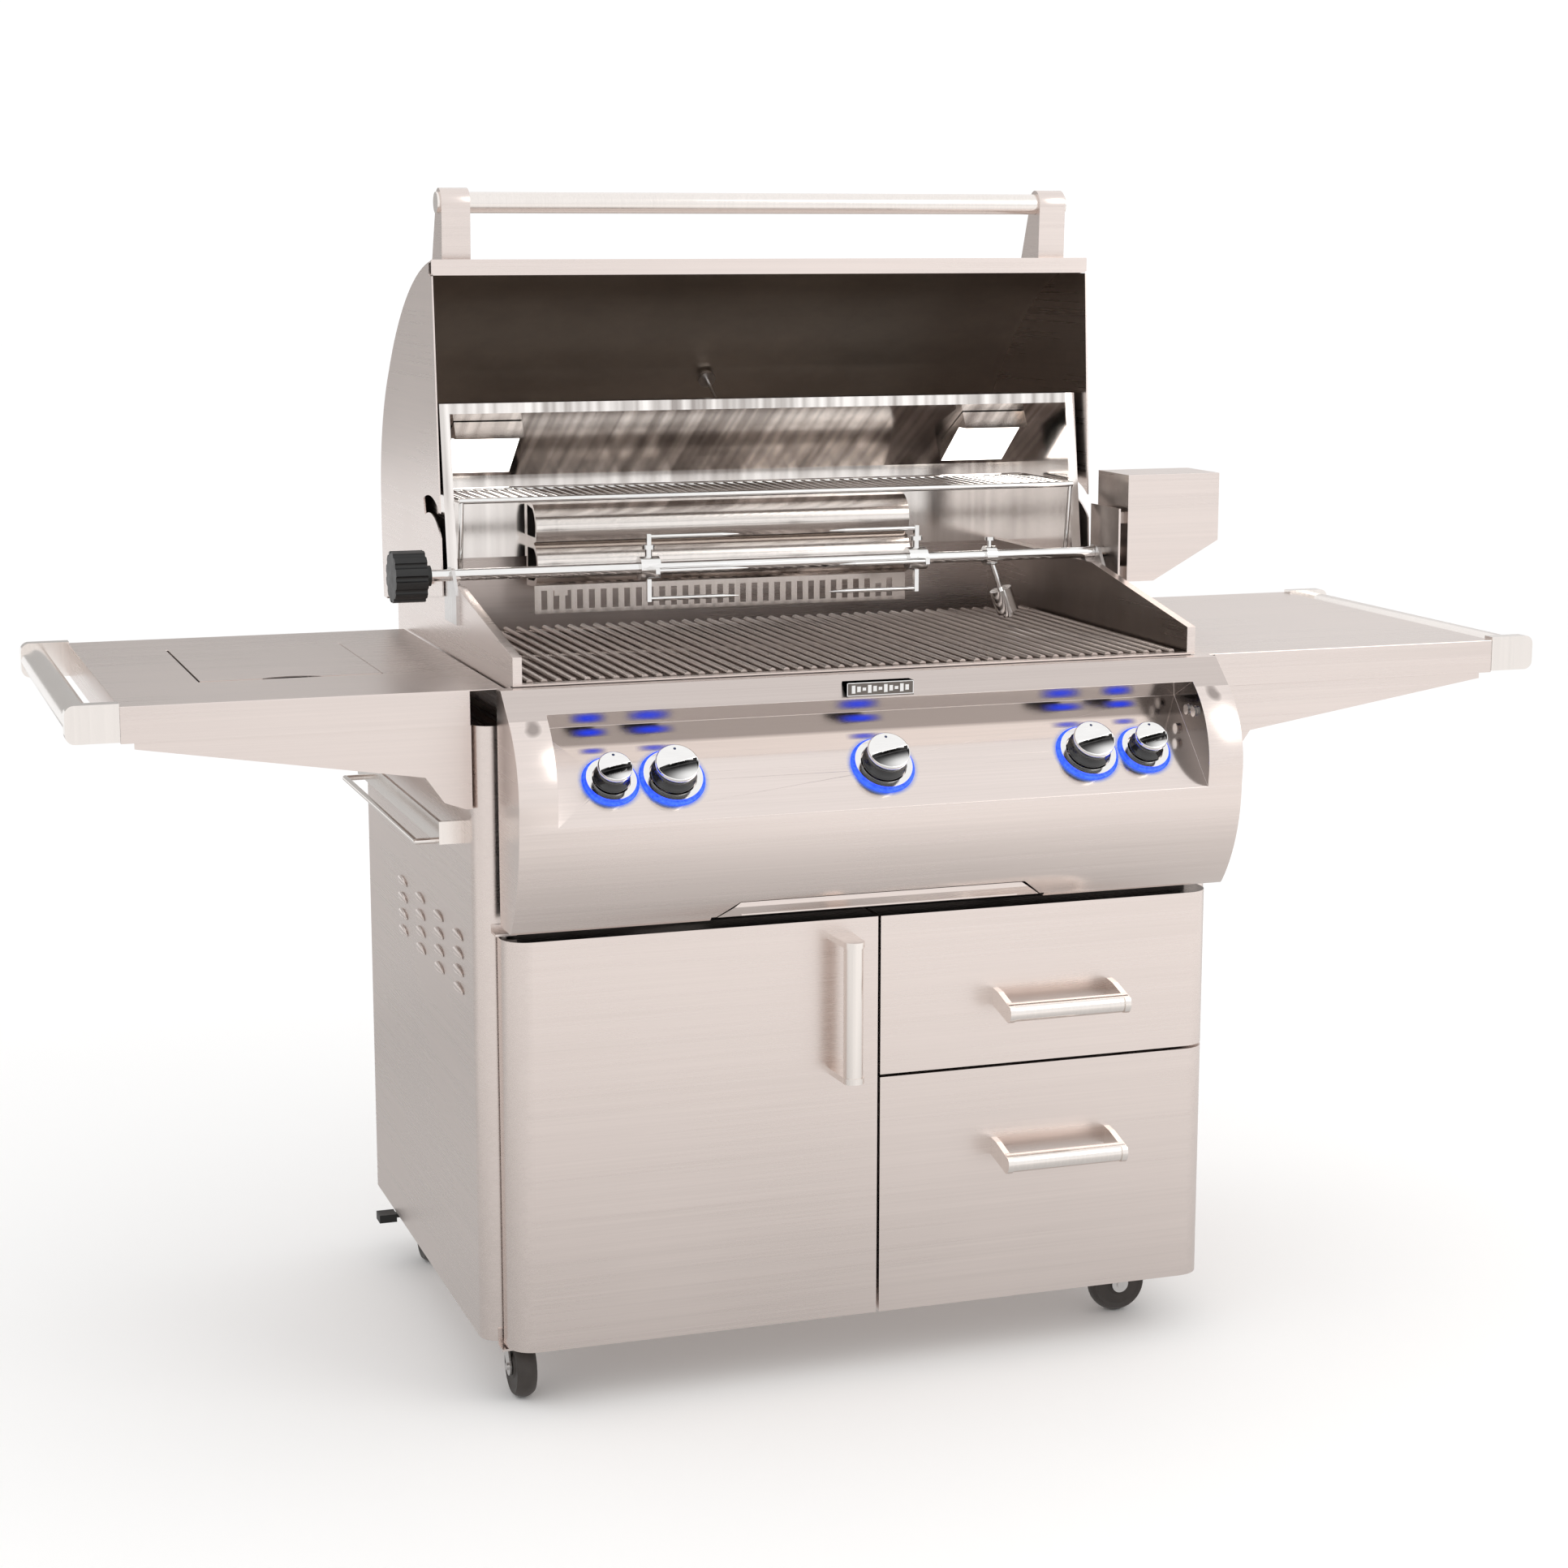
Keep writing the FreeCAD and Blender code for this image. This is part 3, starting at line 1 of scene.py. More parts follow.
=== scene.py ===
import json
import math
import bpy
from mathutils import Euler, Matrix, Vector


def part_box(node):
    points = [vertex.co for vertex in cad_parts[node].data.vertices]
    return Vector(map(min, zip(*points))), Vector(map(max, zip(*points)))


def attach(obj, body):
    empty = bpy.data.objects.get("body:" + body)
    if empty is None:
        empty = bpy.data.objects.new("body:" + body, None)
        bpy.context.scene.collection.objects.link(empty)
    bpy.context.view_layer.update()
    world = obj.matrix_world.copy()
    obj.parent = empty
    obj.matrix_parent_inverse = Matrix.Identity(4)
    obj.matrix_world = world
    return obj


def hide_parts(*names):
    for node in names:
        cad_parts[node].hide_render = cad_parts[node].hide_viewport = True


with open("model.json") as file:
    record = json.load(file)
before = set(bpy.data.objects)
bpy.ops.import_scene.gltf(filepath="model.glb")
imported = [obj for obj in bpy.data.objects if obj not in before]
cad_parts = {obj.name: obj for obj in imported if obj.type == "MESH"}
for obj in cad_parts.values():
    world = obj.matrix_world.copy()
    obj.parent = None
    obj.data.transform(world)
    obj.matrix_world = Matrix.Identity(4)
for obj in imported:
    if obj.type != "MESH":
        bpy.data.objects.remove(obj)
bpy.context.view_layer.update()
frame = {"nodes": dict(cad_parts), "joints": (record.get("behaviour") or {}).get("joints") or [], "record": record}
nodes = frame["nodes"]


# ---------------------------------------------------------------- materials
class Tree:
    """A material's node tree with short calls for the nodes used here."""

    def __init__(self, name):
        self.material = bpy.data.materials.new(name)
        self.material.use_nodes = True
        self.tree = self.material.node_tree
        self.shader = self.tree.nodes["Principled BSDF"]
        self.place = self.node("ShaderNodeTexCoord")

    def node(self, kind, inputs=None, **settings):
        made = self.tree.nodes.new(kind)
        for key, value in settings.items():
            setattr(made, key, value)
        for key, value in (inputs or {}).items():
            self.give(made.inputs[key], value)
        return made

    def give(self, socket, value):
        if isinstance(value, bpy.types.NodeSocket):
            self.tree.links.new(value, socket)
        else:
            socket.default_value = value

    def maths(self, way, a, b=0.0):
        made = self.node("ShaderNodeMath", operation=way)
        for socket, value in zip(made.inputs, (a, b)):
            self.give(socket, value)
        return made.outputs[0]

    def vector(self, way, a, b=(0, 0, 0)):
        made = self.node("ShaderNodeVectorMath", operation=way)
        self.give(made.inputs[0], a)
        self.give(made.inputs[1], b)
        return made

    def noise(self, scale, size=1.0, detail=3.0, rough=0.5):
        """Noise over object space, stretched by three scales per metre."""
        moved = self.node("ShaderNodeMapping", {"Vector": self.place.outputs["Object"], "Scale": scale})
        made = self.node("ShaderNodeTexNoise", {"Vector": moved.outputs[0], "Scale": size, "Detail": detail,
                                                "Roughness": rough})
        return made.outputs["Fac"]

    def stretch(self, value, low, high, to_low, to_high):
        made = self.node("ShaderNodeMapRange", {"Value": value, "From Min": low, "From Max": high,
                                                "To Min": to_low, "To Max": to_high})
        return made.outputs[0]

    def mix(self, factor, a, b):
        made = self.node("ShaderNodeMix", data_type="RGBA")
        self.give(made.inputs[0], factor)
        self.give(made.inputs[6], a)
        self.give(made.inputs[7], b)
        return made.outputs[2]

    def blend_values(self, factor, a, b):
        made = self.node("ShaderNodeMix", data_type="FLOAT")
        self.give(made.inputs[0], factor)
        self.give(made.inputs[2], a)
        self.give(made.inputs[3], b)
        return made.outputs[0]

    def bump(self, height, distance, strength=1.0):
        made = self.node("ShaderNodeBump", {"Height": height, "Distance": distance, "Strength": strength})
        return made.outputs[0]

    def surface(self, **values):
        for key, value in values.items():
            self.give(self.shader.inputs[key.replace("_", " ")], value)
        return self.material


def rgb(r, g, b):
    return (r, g, b, 1.0)


def steel(name, colour, roughness, front="x", side="y", grain=0.5, depth=0.00003, tint=0.035, mottle=0.02,
          inside=None, painted_light_and_tint=None):
    """Brushed stainless steel: fine scratches along one axis, soft smudges, and a faint colour drift.

    front is the brushing direction of faces that look forward or up, side that of faces that look sideways.
    inside is (colour, roughness, (y, z)) for faces that look towards that axis, which take that darker, mottled
    colour.
    The last argument changes the colour and roughness by place on the part: painted shade, painted highlights and
    painted reflections on most parts, heat tint on the firebox.
    """
    t = Tree(name)
    scales = {"x": (2.5, 330.0, 330.0), "y": (330.0, 2.5, 330.0), "z": (330.0, 330.0, 2.5)}
    wide = {"x": (0.8, 60.0, 60.0), "y": (60.0, 0.8, 60.0), "z": (60.0, 60.0, 0.8)}
    turned = t.node("ShaderNodeSeparateXYZ", {"Vector": t.place.outputs["Normal"]})
    sideways = t.stretch(t.maths("ABSOLUTE", turned.outputs[0]), 0.55, 0.75, 0.0, 1.0)
    fine = t.noise(scales[front], detail=2.0)
    broad = t.noise(wide[front], detail=2.0)
    if side != front:
        fine = t.blend_values(sideways, fine, t.noise(scales[side], detail=2.0))
        broad = t.blend_values(sideways, broad, t.noise(wide[side], detail=2.0))
    smudge = t.noise((1.0, 1.0, 1.0), size=2.5, detail=3.0)
    line = t.maths("ADD", t.maths("MULTIPLY", fine, 0.65), t.maths("MULTIPLY", broad, 0.35))
    bright = t.stretch(line, 0.3, 0.7, 1.0 - tint, 1.0 + tint)
    base = t.vector("SCALE", rgb(*colour)[:3])
    t.give(base.inputs["Scale"], t.maths("MULTIPLY", bright, t.stretch(smudge, 0.3, 0.7, 0.985, 1.015)))
    paint = base.outputs[0]
    rough = t.maths("ADD", t.stretch(line, 0.25, 0.75, roughness - grain * 0.06, roughness + grain * 0.08),
                    t.stretch(smudge, 0.35, 0.65, -mottle, mottle))
    if inside:
        dark, dark_rough, (y, z) = inside
        away = t.vector("SUBTRACT", t.place.outputs["Object"], (0.0, y, z))
        flat = t.vector("MULTIPLY", away.outputs[0], (0.0, 1.0, 1.0))
        facing = t.vector("DOT_PRODUCT", flat.outputs[0], t.place.outputs["Normal"])
        mask = t.stretch(facing.outputs["Value"], -0.03, -0.01, 1.0, 0.0)
        inside_mottle = t.noise((1.0, 1.0, 1.6), size=3.0, detail=6.0, rough=0.65)
        inside_darker, inside_lighter = (rgb(*[c * scale for c in dark]) for scale in (0.9, 1.25))
        inside_tone = t.mix(t.stretch(inside_mottle, 0.35, 0.65, 0.0, 1.0), inside_darker, inside_lighter)
        paint = t.mix(mask, paint, inside_tone)
        rough = t.blend_values(mask, rough, t.stretch(inside_mottle, 0.3, 0.7, dark_rough - 0.06, dark_rough + 0.06))
    if painted_light_and_tint:
        paint, rough = painted_light_and_tint(t, paint, rough)
    rough = t.maths("MAXIMUM", rough, 0.05)
    return t.surface(Base_Color=paint, Metallic=1.0, Roughness=rough, Normal=t.bump(line, depth, 0.35))


def chrome(name, colour=(0.86, 0.85, 0.84), roughness=0.07):
    """Polished metal with the faint waviness and wipe marks of a bright finish."""
    t = Tree(name)
    wave = t.noise((1.0, 1.0, 1.0), size=60.0, detail=2.0)
    wipe = t.noise((40.0, 200.0, 200.0), detail=4.0, rough=0.6)
    paint = t.mix(t.stretch(wipe, 0.3, 0.7, 0.0, 1.0), rgb(*[c * 0.95 for c in colour]), rgb(*colour))
    rough = t.stretch(wipe, 0.3, 0.7, roughness, roughness + 0.06)
    return t.surface(Base_Color=paint, Metallic=1.0, Roughness=rough, Normal=t.bump(wave, 0.0004, 0.15))


def plastic(name, colour, roughness=0.42, size=900.0, depth=0.00008):
    """Moulded plastic or rubber with a fine spark texture and a little dust in random patches."""
    t = Tree(name)
    grain = t.noise((1.0, 1.0, 1.0), size=size, detail=3.0, rough=0.6)
    dust = t.noise((1.0, 1.0, 1.0), size=35.0, detail=5.0, rough=0.65)
    dusty = rgb(*[c * 1.9 + 0.01 for c in colour])
    paint = t.mix(t.stretch(dust, 0.35, 0.75, 0.0, 0.5), rgb(*colour), dusty)
    rough = t.stretch(dust, 0.3, 0.7, roughness - 0.07, roughness + 0.1)
    return t.surface(Base_Color=paint, Roughness=rough, Normal=t.bump(grain, depth, 0.5))


STEEL = (0.75, 0.668, 0.632)
BLACK = (0.0, 0.0, 0.0, 1.0)
RECESS_FACE = (0.0, -0.7071, 0.7071)
RECESS_ROOF = (0.0, -0.434, -0.901)
HOOD_AXIS = (0.20, 1.20)
joints = {joint["name"]: joint for joint in frame["joints"]}


def glow_blue(name, strength):
    """Blue light pipe: saturated at its core, paler along moulded flow lines."""
    t = Tree(name)
    flow = t.noise((1.0, 1.0, 1.0), size=220.0, detail=2.0)
    glow = t.mix(t.stretch(flow, 0.3, 0.7, 0.0, 1.0), rgb(0.003, 0.035, 0.85), rgb(0.02, 0.075, 1.0))
    return t.surface(Base_Color=glow, Roughness=0.3, Emission_Color=glow, Emission_Strength=strength)


def halo_blue():
    """Painted glow round a ring, in place of the light it throws: fades out by the 'halo' value."""
    t = Tree("halo_blue")
    fade = t.node("ShaderNodeAttribute", attribute_name="halo")
    grain = t.noise((40.0, 300.0, 300.0), detail=2.0)
    falloff = t.maths("POWER", fade.outputs["Fac"], 1.6)
    alpha = t.maths("MULTIPLY", falloff, t.stretch(grain, 0.3, 0.7, 0.75, 1.0))
    glow = t.mix(fade.outputs["Fac"], rgb(0.20, 0.42, 1.0), rgb(0.03, 0.12, 1.0))
    return t.surface(Base_Color=BLACK, Roughness=0.6, Emission_Color=glow,
                     Emission_Strength=0.9, Alpha=alpha)


def painted_reflection_blue():
    """Painted streak that imitates a ring light's mirror image: fades out by the 'halo' value."""
    t = Tree("painted_reflection_blue")
    fade = t.node("ShaderNodeAttribute", attribute_name="halo")
    grain = t.noise((12.0, 260.0, 260.0), detail=2.0)
    alpha = t.maths("MULTIPLY", fade.outputs["Fac"], t.stretch(grain, 0.3, 0.7, 0.8, 1.0))
    glow = t.mix(fade.outputs["Fac"], rgb(0.05, 0.05, 0.22), rgb(0.010, 0.045, 0.85))
    return t.surface(Base_Color=BLACK, Roughness=0.6, Emission_Color=glow,
                     Emission_Strength=1.0, Alpha=alpha)


def knob_facet():
    """Painted shade on a knob cap's half-moon cut, in place of a reflection: black ridge, bright rim."""
    t = Tree("knob_facet")
    fade = t.node("ShaderNodeAttribute", attribute_name="halo")
    wipe = t.noise((60.0, 300.0, 300.0), detail=3.0)
    shade = t.mix(fade.outputs["Fac"], rgb(0.035, 0.034, 0.034), rgb(0.86, 0.85, 0.84))
    return t.surface(Base_Color=shade, Metallic=1.0, Roughness=t.stretch(wipe, 0.3, 0.7, 0.10, 0.18))


def lamp_finish():
    """Polished housing, with a frosted glass where the face looks down at the food."""
    t = Tree("lamp_finish")
    facing = t.vector("DOT_PRODUCT", t.place.outputs["Normal"], (0.0, -0.61, -0.79)).outputs["Value"]
    lit = t.stretch(facing, 0.90, 0.94, 0.0, 1.0)
    rib = t.noise((1.0, 500.0, 1.0), detail=2.0)
    glow = t.mix(t.stretch(rib, 0.3, 0.7, 0.0, 1.0), rgb(1.0, 0.92, 0.84), rgb(1.0, 0.98, 0.95))
    wipe = t.noise((30.0, 200.0, 200.0), detail=3.0)
    return t.surface(Base_Color=t.mix(lit, rgb(0.78, 0.72, 0.68), glow),
                     Metallic=t.stretch(lit, 0.0, 1.0, 1.0, 0.0),
                     Roughness=t.stretch(wipe, 0.3, 0.7, 0.12, 0.24),
                     Emission_Color=t.mix(lit, BLACK, glow), Emission_Strength=3.0)


def gloss_black(name, colour=(0.010, 0.010, 0.011), roughness=0.14):
    """Black glossy enamel with faint orange peel and dust."""
    t = Tree(name)
    peel = t.noise((1.0, 1.0, 1.0), size=420.0, detail=2.0)
    dust = t.noise((1.0, 1.0, 1.0), size=60.0, detail=5.0)
    rough = t.stretch(dust, 0.35, 0.7, roughness, roughness + 0.12)
    tone = t.mix(t.stretch(dust, 0.45, 0.8, 0.0, 0.4), rgb(*colour), rgb(*[c * 3 for c in colour]))
    return t.surface(Base_Color=tone, Roughness=rough, Coat_Weight=0.6, Coat_Roughness=0.08,
                     Normal=t.bump(peel, 0.00004, 0.2))


def recess_gloss_and_painted_light(t, paint, rough):
    """The knob recess is glossier than the panel.  Its top strip is painted dark as a painted reflection, its
    inward ends get painted shade that darkens towards the top, and its roof is painted lighter as a painted
    highlight.
    """
    face = t.vector("DOT_PRODUCT", t.place.outputs["Normal"], RECESS_FACE).outputs["Value"]
    roof = t.vector("DOT_PRODUCT", t.place.outputs["Normal"], RECESS_ROOF).outputs["Value"]
    either = t.maths("MAXIMUM", t.stretch(face, 0.995, 0.999, 0.0, 1.0),
                     t.stretch(roof, 0.98, 0.99, 0.0, 1.0))
    split = t.node("ShaderNodeSeparateXYZ", {"Vector": t.place.outputs["Object"]})
    turned = t.node("ShaderNodeSeparateXYZ", {"Vector": t.place.outputs["Normal"]})
    inward = t.maths("MULTIPLY", turned.outputs[0], t.stretch(split.outputs[0], -0.01, 0.01, 1.0, -1.0))
    # Painted shade on the recess's inward-facing ends, darker towards the top.
    end = t.maths("MULTIPLY", t.stretch(inward, 0.9, 0.95, 0.0, 1.0),
                  t.stretch(split.outputs[2], 0.790, 0.794, 0.0, 1.0))
    fade = t.stretch(t.maths("SUBTRACT", split.outputs[2], t.maths("MULTIPLY", split.outputs[1], 0.5)),
                     0.98, 1.13, 0.9, 0.12)
    # Painted reflection: a dark strip along the top of the recess face.
    strip = t.maths("MULTIPLY", t.stretch(face, 0.995, 0.999, 0.0, 1.0),
                    t.stretch(split.outputs[2], 0.8790, 0.8835, 0.0, 0.75))
    paint = t.mix(strip, paint, rgb(0.24, 0.205, 0.19))
    # Painted highlight: the recess roof is painted lighter.
    paint = t.mix(t.stretch(roof, 0.98, 0.99, 0.0, 1.0), paint, rgb(0.98, 0.95, 0.93))
    darkened = t.vector("SCALE", rgb(0.42, 0.38, 0.36)[:3])
    t.give(darkened.inputs["Scale"], fade)
    polished = t.maths("MAXIMUM", either, end)
    return t.mix(end, paint, darkened.outputs[0]), t.blend_values(polished, rough, 0.12)


def frame_shade(t, paint, rough):
    """The cart frame is painted dark inside the cart, to read as shadow."""
    split = t.node("ShaderNodeSeparateXYZ", {"Vector": t.place.outputs["Object"]})
    outer = t.maths("ABSOLUTE", split.outputs[0])
    return t.mix(t.stretch(outer, 0.488, 0.492, 1.0, 0.0), paint, rgb(0.10, 0.09, 0.085)), rough


def front_shade(t, paint, rough):
    """The top flanges of the door and drawer are painted dark, to read as the gap over them."""
    split = t.node("ShaderNodeSeparateXYZ", {"Vector": t.place.outputs["Object"]})
    turned = t.node("ShaderNodeSeparateXYZ", {"Vector": t.place.outputs["Normal"]})
    gap = t.maths("MULTIPLY", t.stretch(turned.outputs[2], 0.6, 0.9, 0.0, 1.0),
                  t.stretch(split.outputs[2], 0.600, 0.630, 0.0, 1.0))
    return t.mix(gap, paint, rgb(0.05, 0.045, 0.042)), rough


def painted_liner_reflection(t, paint, rough):
    """Painted upright streaks that imitate the warming rack mirrored in the oven liner."""
    split = t.node("ShaderNodeSeparateXYZ", {"Vector": t.place.outputs["Object"]})
    turned = t.node("ShaderNodeSeparateXYZ", {"Vector": t.place.outputs["Normal"]})
    wires = t.noise((70.0, 1.0, 1.5), detail=1.0)
    broad = t.noise((9.0, 1.0, 2.0), detail=2.0)
    line = t.maths("ADD", t.maths("MULTIPLY", wires, 0.6), t.maths("MULTIPLY", broad, 0.4))
    on_back = t.maths("MULTIPLY", t.stretch(t.maths("ABSOLUTE", turned.outputs[0]), 0.2, 0.5, 1.0, 0.0),
                      t.stretch(split.outputs[2], 1.14, 1.18, 0.25, 1.0))
    streak = t.stretch(line, 0.38, 0.62, 0.0, 1.0)
    lined = t.mix(streak, rgb(0.40, 0.365, 0.345), rgb(0.97, 0.93, 0.90))
    return t.mix(on_back, paint, lined), rough


def motor_shade(t, paint, rough):
    """The motor's inner end is painted darker than the rest, as painted shade."""
    turned = t.node("ShaderNodeSeparateXYZ", {"Vector": t.place.outputs["Normal"]})
    patch = t.noise((1.0, 1.0, 1.0), size=14.0, detail=4.0)
    painted_dark_end = t.mix(t.stretch(patch, 0.3, 0.7, 0.0, 1.0), rgb(0.24, 0.205, 0.185), rgb(0.42, 0.365, 0.335))
    return t.mix(t.stretch(turned.outputs[0], -0.9, -0.8, 1.0, 0.0), paint, painted_dark_end), rough


def old_steel(t, paint, rough):
    """The firebox's inner side walls are browned by heat."""
    split = t.node("ShaderNodeSeparateXYZ", {"Vector": t.place.outputs["Object"]})
    turned = t.node("ShaderNodeSeparateXYZ", {"Vector": t.place.outputs["Normal"]})
    inward = t.maths("MULTIPLY", turned.outputs[0], t.stretch(split.outputs[0], -0.01, 0.01, 1.0, -1.0))
    patch = t.noise((1.0, 1.0, 1.0), size=6.0, detail=4.0)
    browned = t.mix(t.stretch(patch, 0.3, 0.7, 0.0, 1.0), rgb(0.22, 0.185, 0.165), rgb(0.36, 0.31, 0.285))
    return t.mix(t.stretch(inward, 0.6, 0.8, 0.0, 1.0), paint, browned), rough


finishes = {
    "brushed_steel": steel("brushed_steel", STEEL, 0.28),
    "bright_steel": steel("bright_steel", (0.84, 0.79, 0.755), 0.16, front="z", side="z"),
    "polished_chrome": chrome("polished_chrome"),
    "grid_steel": steel("grid_steel", (0.50, 0.44, 0.41), 0.26, front="y", side="y", mottle=0.06,
                        tint=0.14),
    "black_plastic": plastic("black_plastic", (0.004, 0.004, 0.004)),
    "zinc_steel": steel("zinc_steel", (0.66, 0.64, 0.63), 0.30, front="z", side="z"),
    "wheel_rubber": plastic("wheel_rubber", (0.032, 0.025, 0.021), 0.55),
    "gas_pipe": steel("gas_pipe", (0.62, 0.48, 0.24), 0.32),
    "light_blue": glow_blue("light_blue", 1.7),
    "lamp_glass": lamp_finish(),
    "hood_steel": steel("hood_steel", STEEL, 0.28, inside=((0.37, 0.315, 0.27), 0.40, HOOD_AXIS)),
    "panel_steel": steel("panel_steel", STEEL, 0.26, painted_light_and_tint=recess_gloss_and_painted_light),
    "liner_steel": steel("liner_steel", (0.84, 0.79, 0.76), 0.13, front="z", side="z", grain=0.3,
                         painted_light_and_tint=painted_liner_reflection),
    "frame_steel": steel("frame_steel", STEEL, 0.30, painted_light_and_tint=frame_shade),
    "front_steel": steel("front_steel", STEEL, 0.28, painted_light_and_tint=front_shade),
    "motor_steel": steel("motor_steel", STEEL, 0.28, painted_light_and_tint=motor_shade),
    "box_steel": steel("box_steel", STEEL, 0.28, painted_light_and_tint=old_steel),
    # The gas manifold is painted near-black as painted shade, so the gap under the control panel reads dark.
    "painted_shade_steel": steel("painted_shade_steel", (0.10, 0.09, 0.085), 0.45),
    "painted_reflection_blue": painted_reflection_blue(),
    "badge_field": plastic("badge_field", (0.09, 0.075, 0.065), 0.35),
    "knob_facet": knob_facet(),
    "knob_side": gloss_black("knob_side"),
    "knob_cap": chrome("knob_cap", (0.88, 0.87, 0.86), 0.10),
    "index_mark": plastic("index_mark", (0.01, 0.02, 0.07), 0.3),
    "halo_blue": halo_blue(),
}
slot_of = {part["node"]: part["material_slot"] for part in frame["record"]["subparts"]}


def paint(name, material):
    thing = nodes[name]
    if not thing.material_slots:
        thing.data.materials.append(material)
    for slot in thing.material_slots:
        slot.link = "OBJECT"
        slot.material = material


for name in nodes:
    paint(name, finishes[slot_of[name]])
for names, finish in ((("hood_skin", "hood_ends"), "hood_steel"), (("upper_oven",), "liner_steel"),
                      (("control_panel",), "panel_steel"), (("cart_frame",), "frame_steel"),
                      (("door_shell", "upper_drawer"), "front_steel"),
                      (("firebox",), "box_steel"), (("rotisserie_motor",), "motor_steel"),
                      (("gas_manifold",), "painted_shade_steel")):
    for name in names:
        paint(name, finishes[finish])


# ---------------------------------------------------------------- mesh helpers
def piece(name, vertices, faces, body, materials, slot, smooth=True, indices=None):
    """A new mesh object in the row frame that rides on a body."""
    data = bpy.data.meshes.new(name)
    data.from_pydata([tuple(v) for v in vertices], [], faces)
    for key in materials:
        data.materials.append(finishes[key])
    for n, polygon in enumerate(data.polygons):
        polygon.use_smooth = smooth
        if indices:
            polygon.material_index = indices[n]
    data.validate()
    thing = bpy.data.objects.new(name, data)
    bpy.context.scene.collection.objects.link(thing)
    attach(thing, body)
    return thing


def reach(node, origin, axis):
    """(lowest, highest, largest radius) of a node's points about an axis."""
    points = [v.co - origin for v in nodes[node].data.vertices]
    heights = [p.dot(axis) for p in points]
    radius = max((p - axis * h).length for p, h in zip(points, heights))
    return min(heights), max(heights), radius


def soften(name, width, segments=2, angle=40):
    """Rounded edges on a CAD node, as a modifier on the welded mesh."""
    thing = nodes[name]
    weld = thing.modifiers.new("weld", "WELD")
    weld.merge_threshold = 0.00002
    bevel = thing.modifiers.new("bevel", "BEVEL")
    bevel.width = width
    bevel.segments = segments
    bevel.limit_method = "ANGLE"
    bevel.angle_limit = math.radians(angle)
    bevel.use_clamp_overlap = True
    bevel.harden_normals = False


def smooth_step(low, high, value):
    k = min(max((value - low) / (high - low), 0.0), 1.0)
    return k * k * (3 - 2 * k)


# ---------------------------------------------------------------- knobs and their lights
KNOBS = ("rear_burner_knob", "left_knob", "middle_knob", "right_knob", "side_burner_knob")
SMALL_KNOBS = ("rear_burner_knob", "side_burner_knob")
BEZEL_MARGIN = 0.0105


def knob_frame(name):
    joint = joints[f"{name}_turn"]
    axis = Vector(joint["axis"]).normalized()
    right = Vector((1, 0, 0))
    return Vector(joint["pos_m"]), axis, right, axis.cross(right)


def cap_height(u, v, cap, top):
    """The cap's height over (u, v): a gently domed upper half, a ridge, and a half-moon cut below it."""
    tilt = math.radians(12)
    across = -u * math.sin(tilt) + v * math.cos(tilt)
    out = math.hypot(u, v) / cap
    drop = 0.0006 * out * out + 0.0016 * max(0.0, (out - 0.9) / 0.1) ** 2
    below = (-0.02 * cap - across) / cap
    cut = 0.0050 * smooth_step(0.0, 0.09, below) * (1 - 0.85 * smooth_step(0.09, 0.80, below))
    return top - drop - cut * (1 - smooth_step(0.93, 0.99, out))


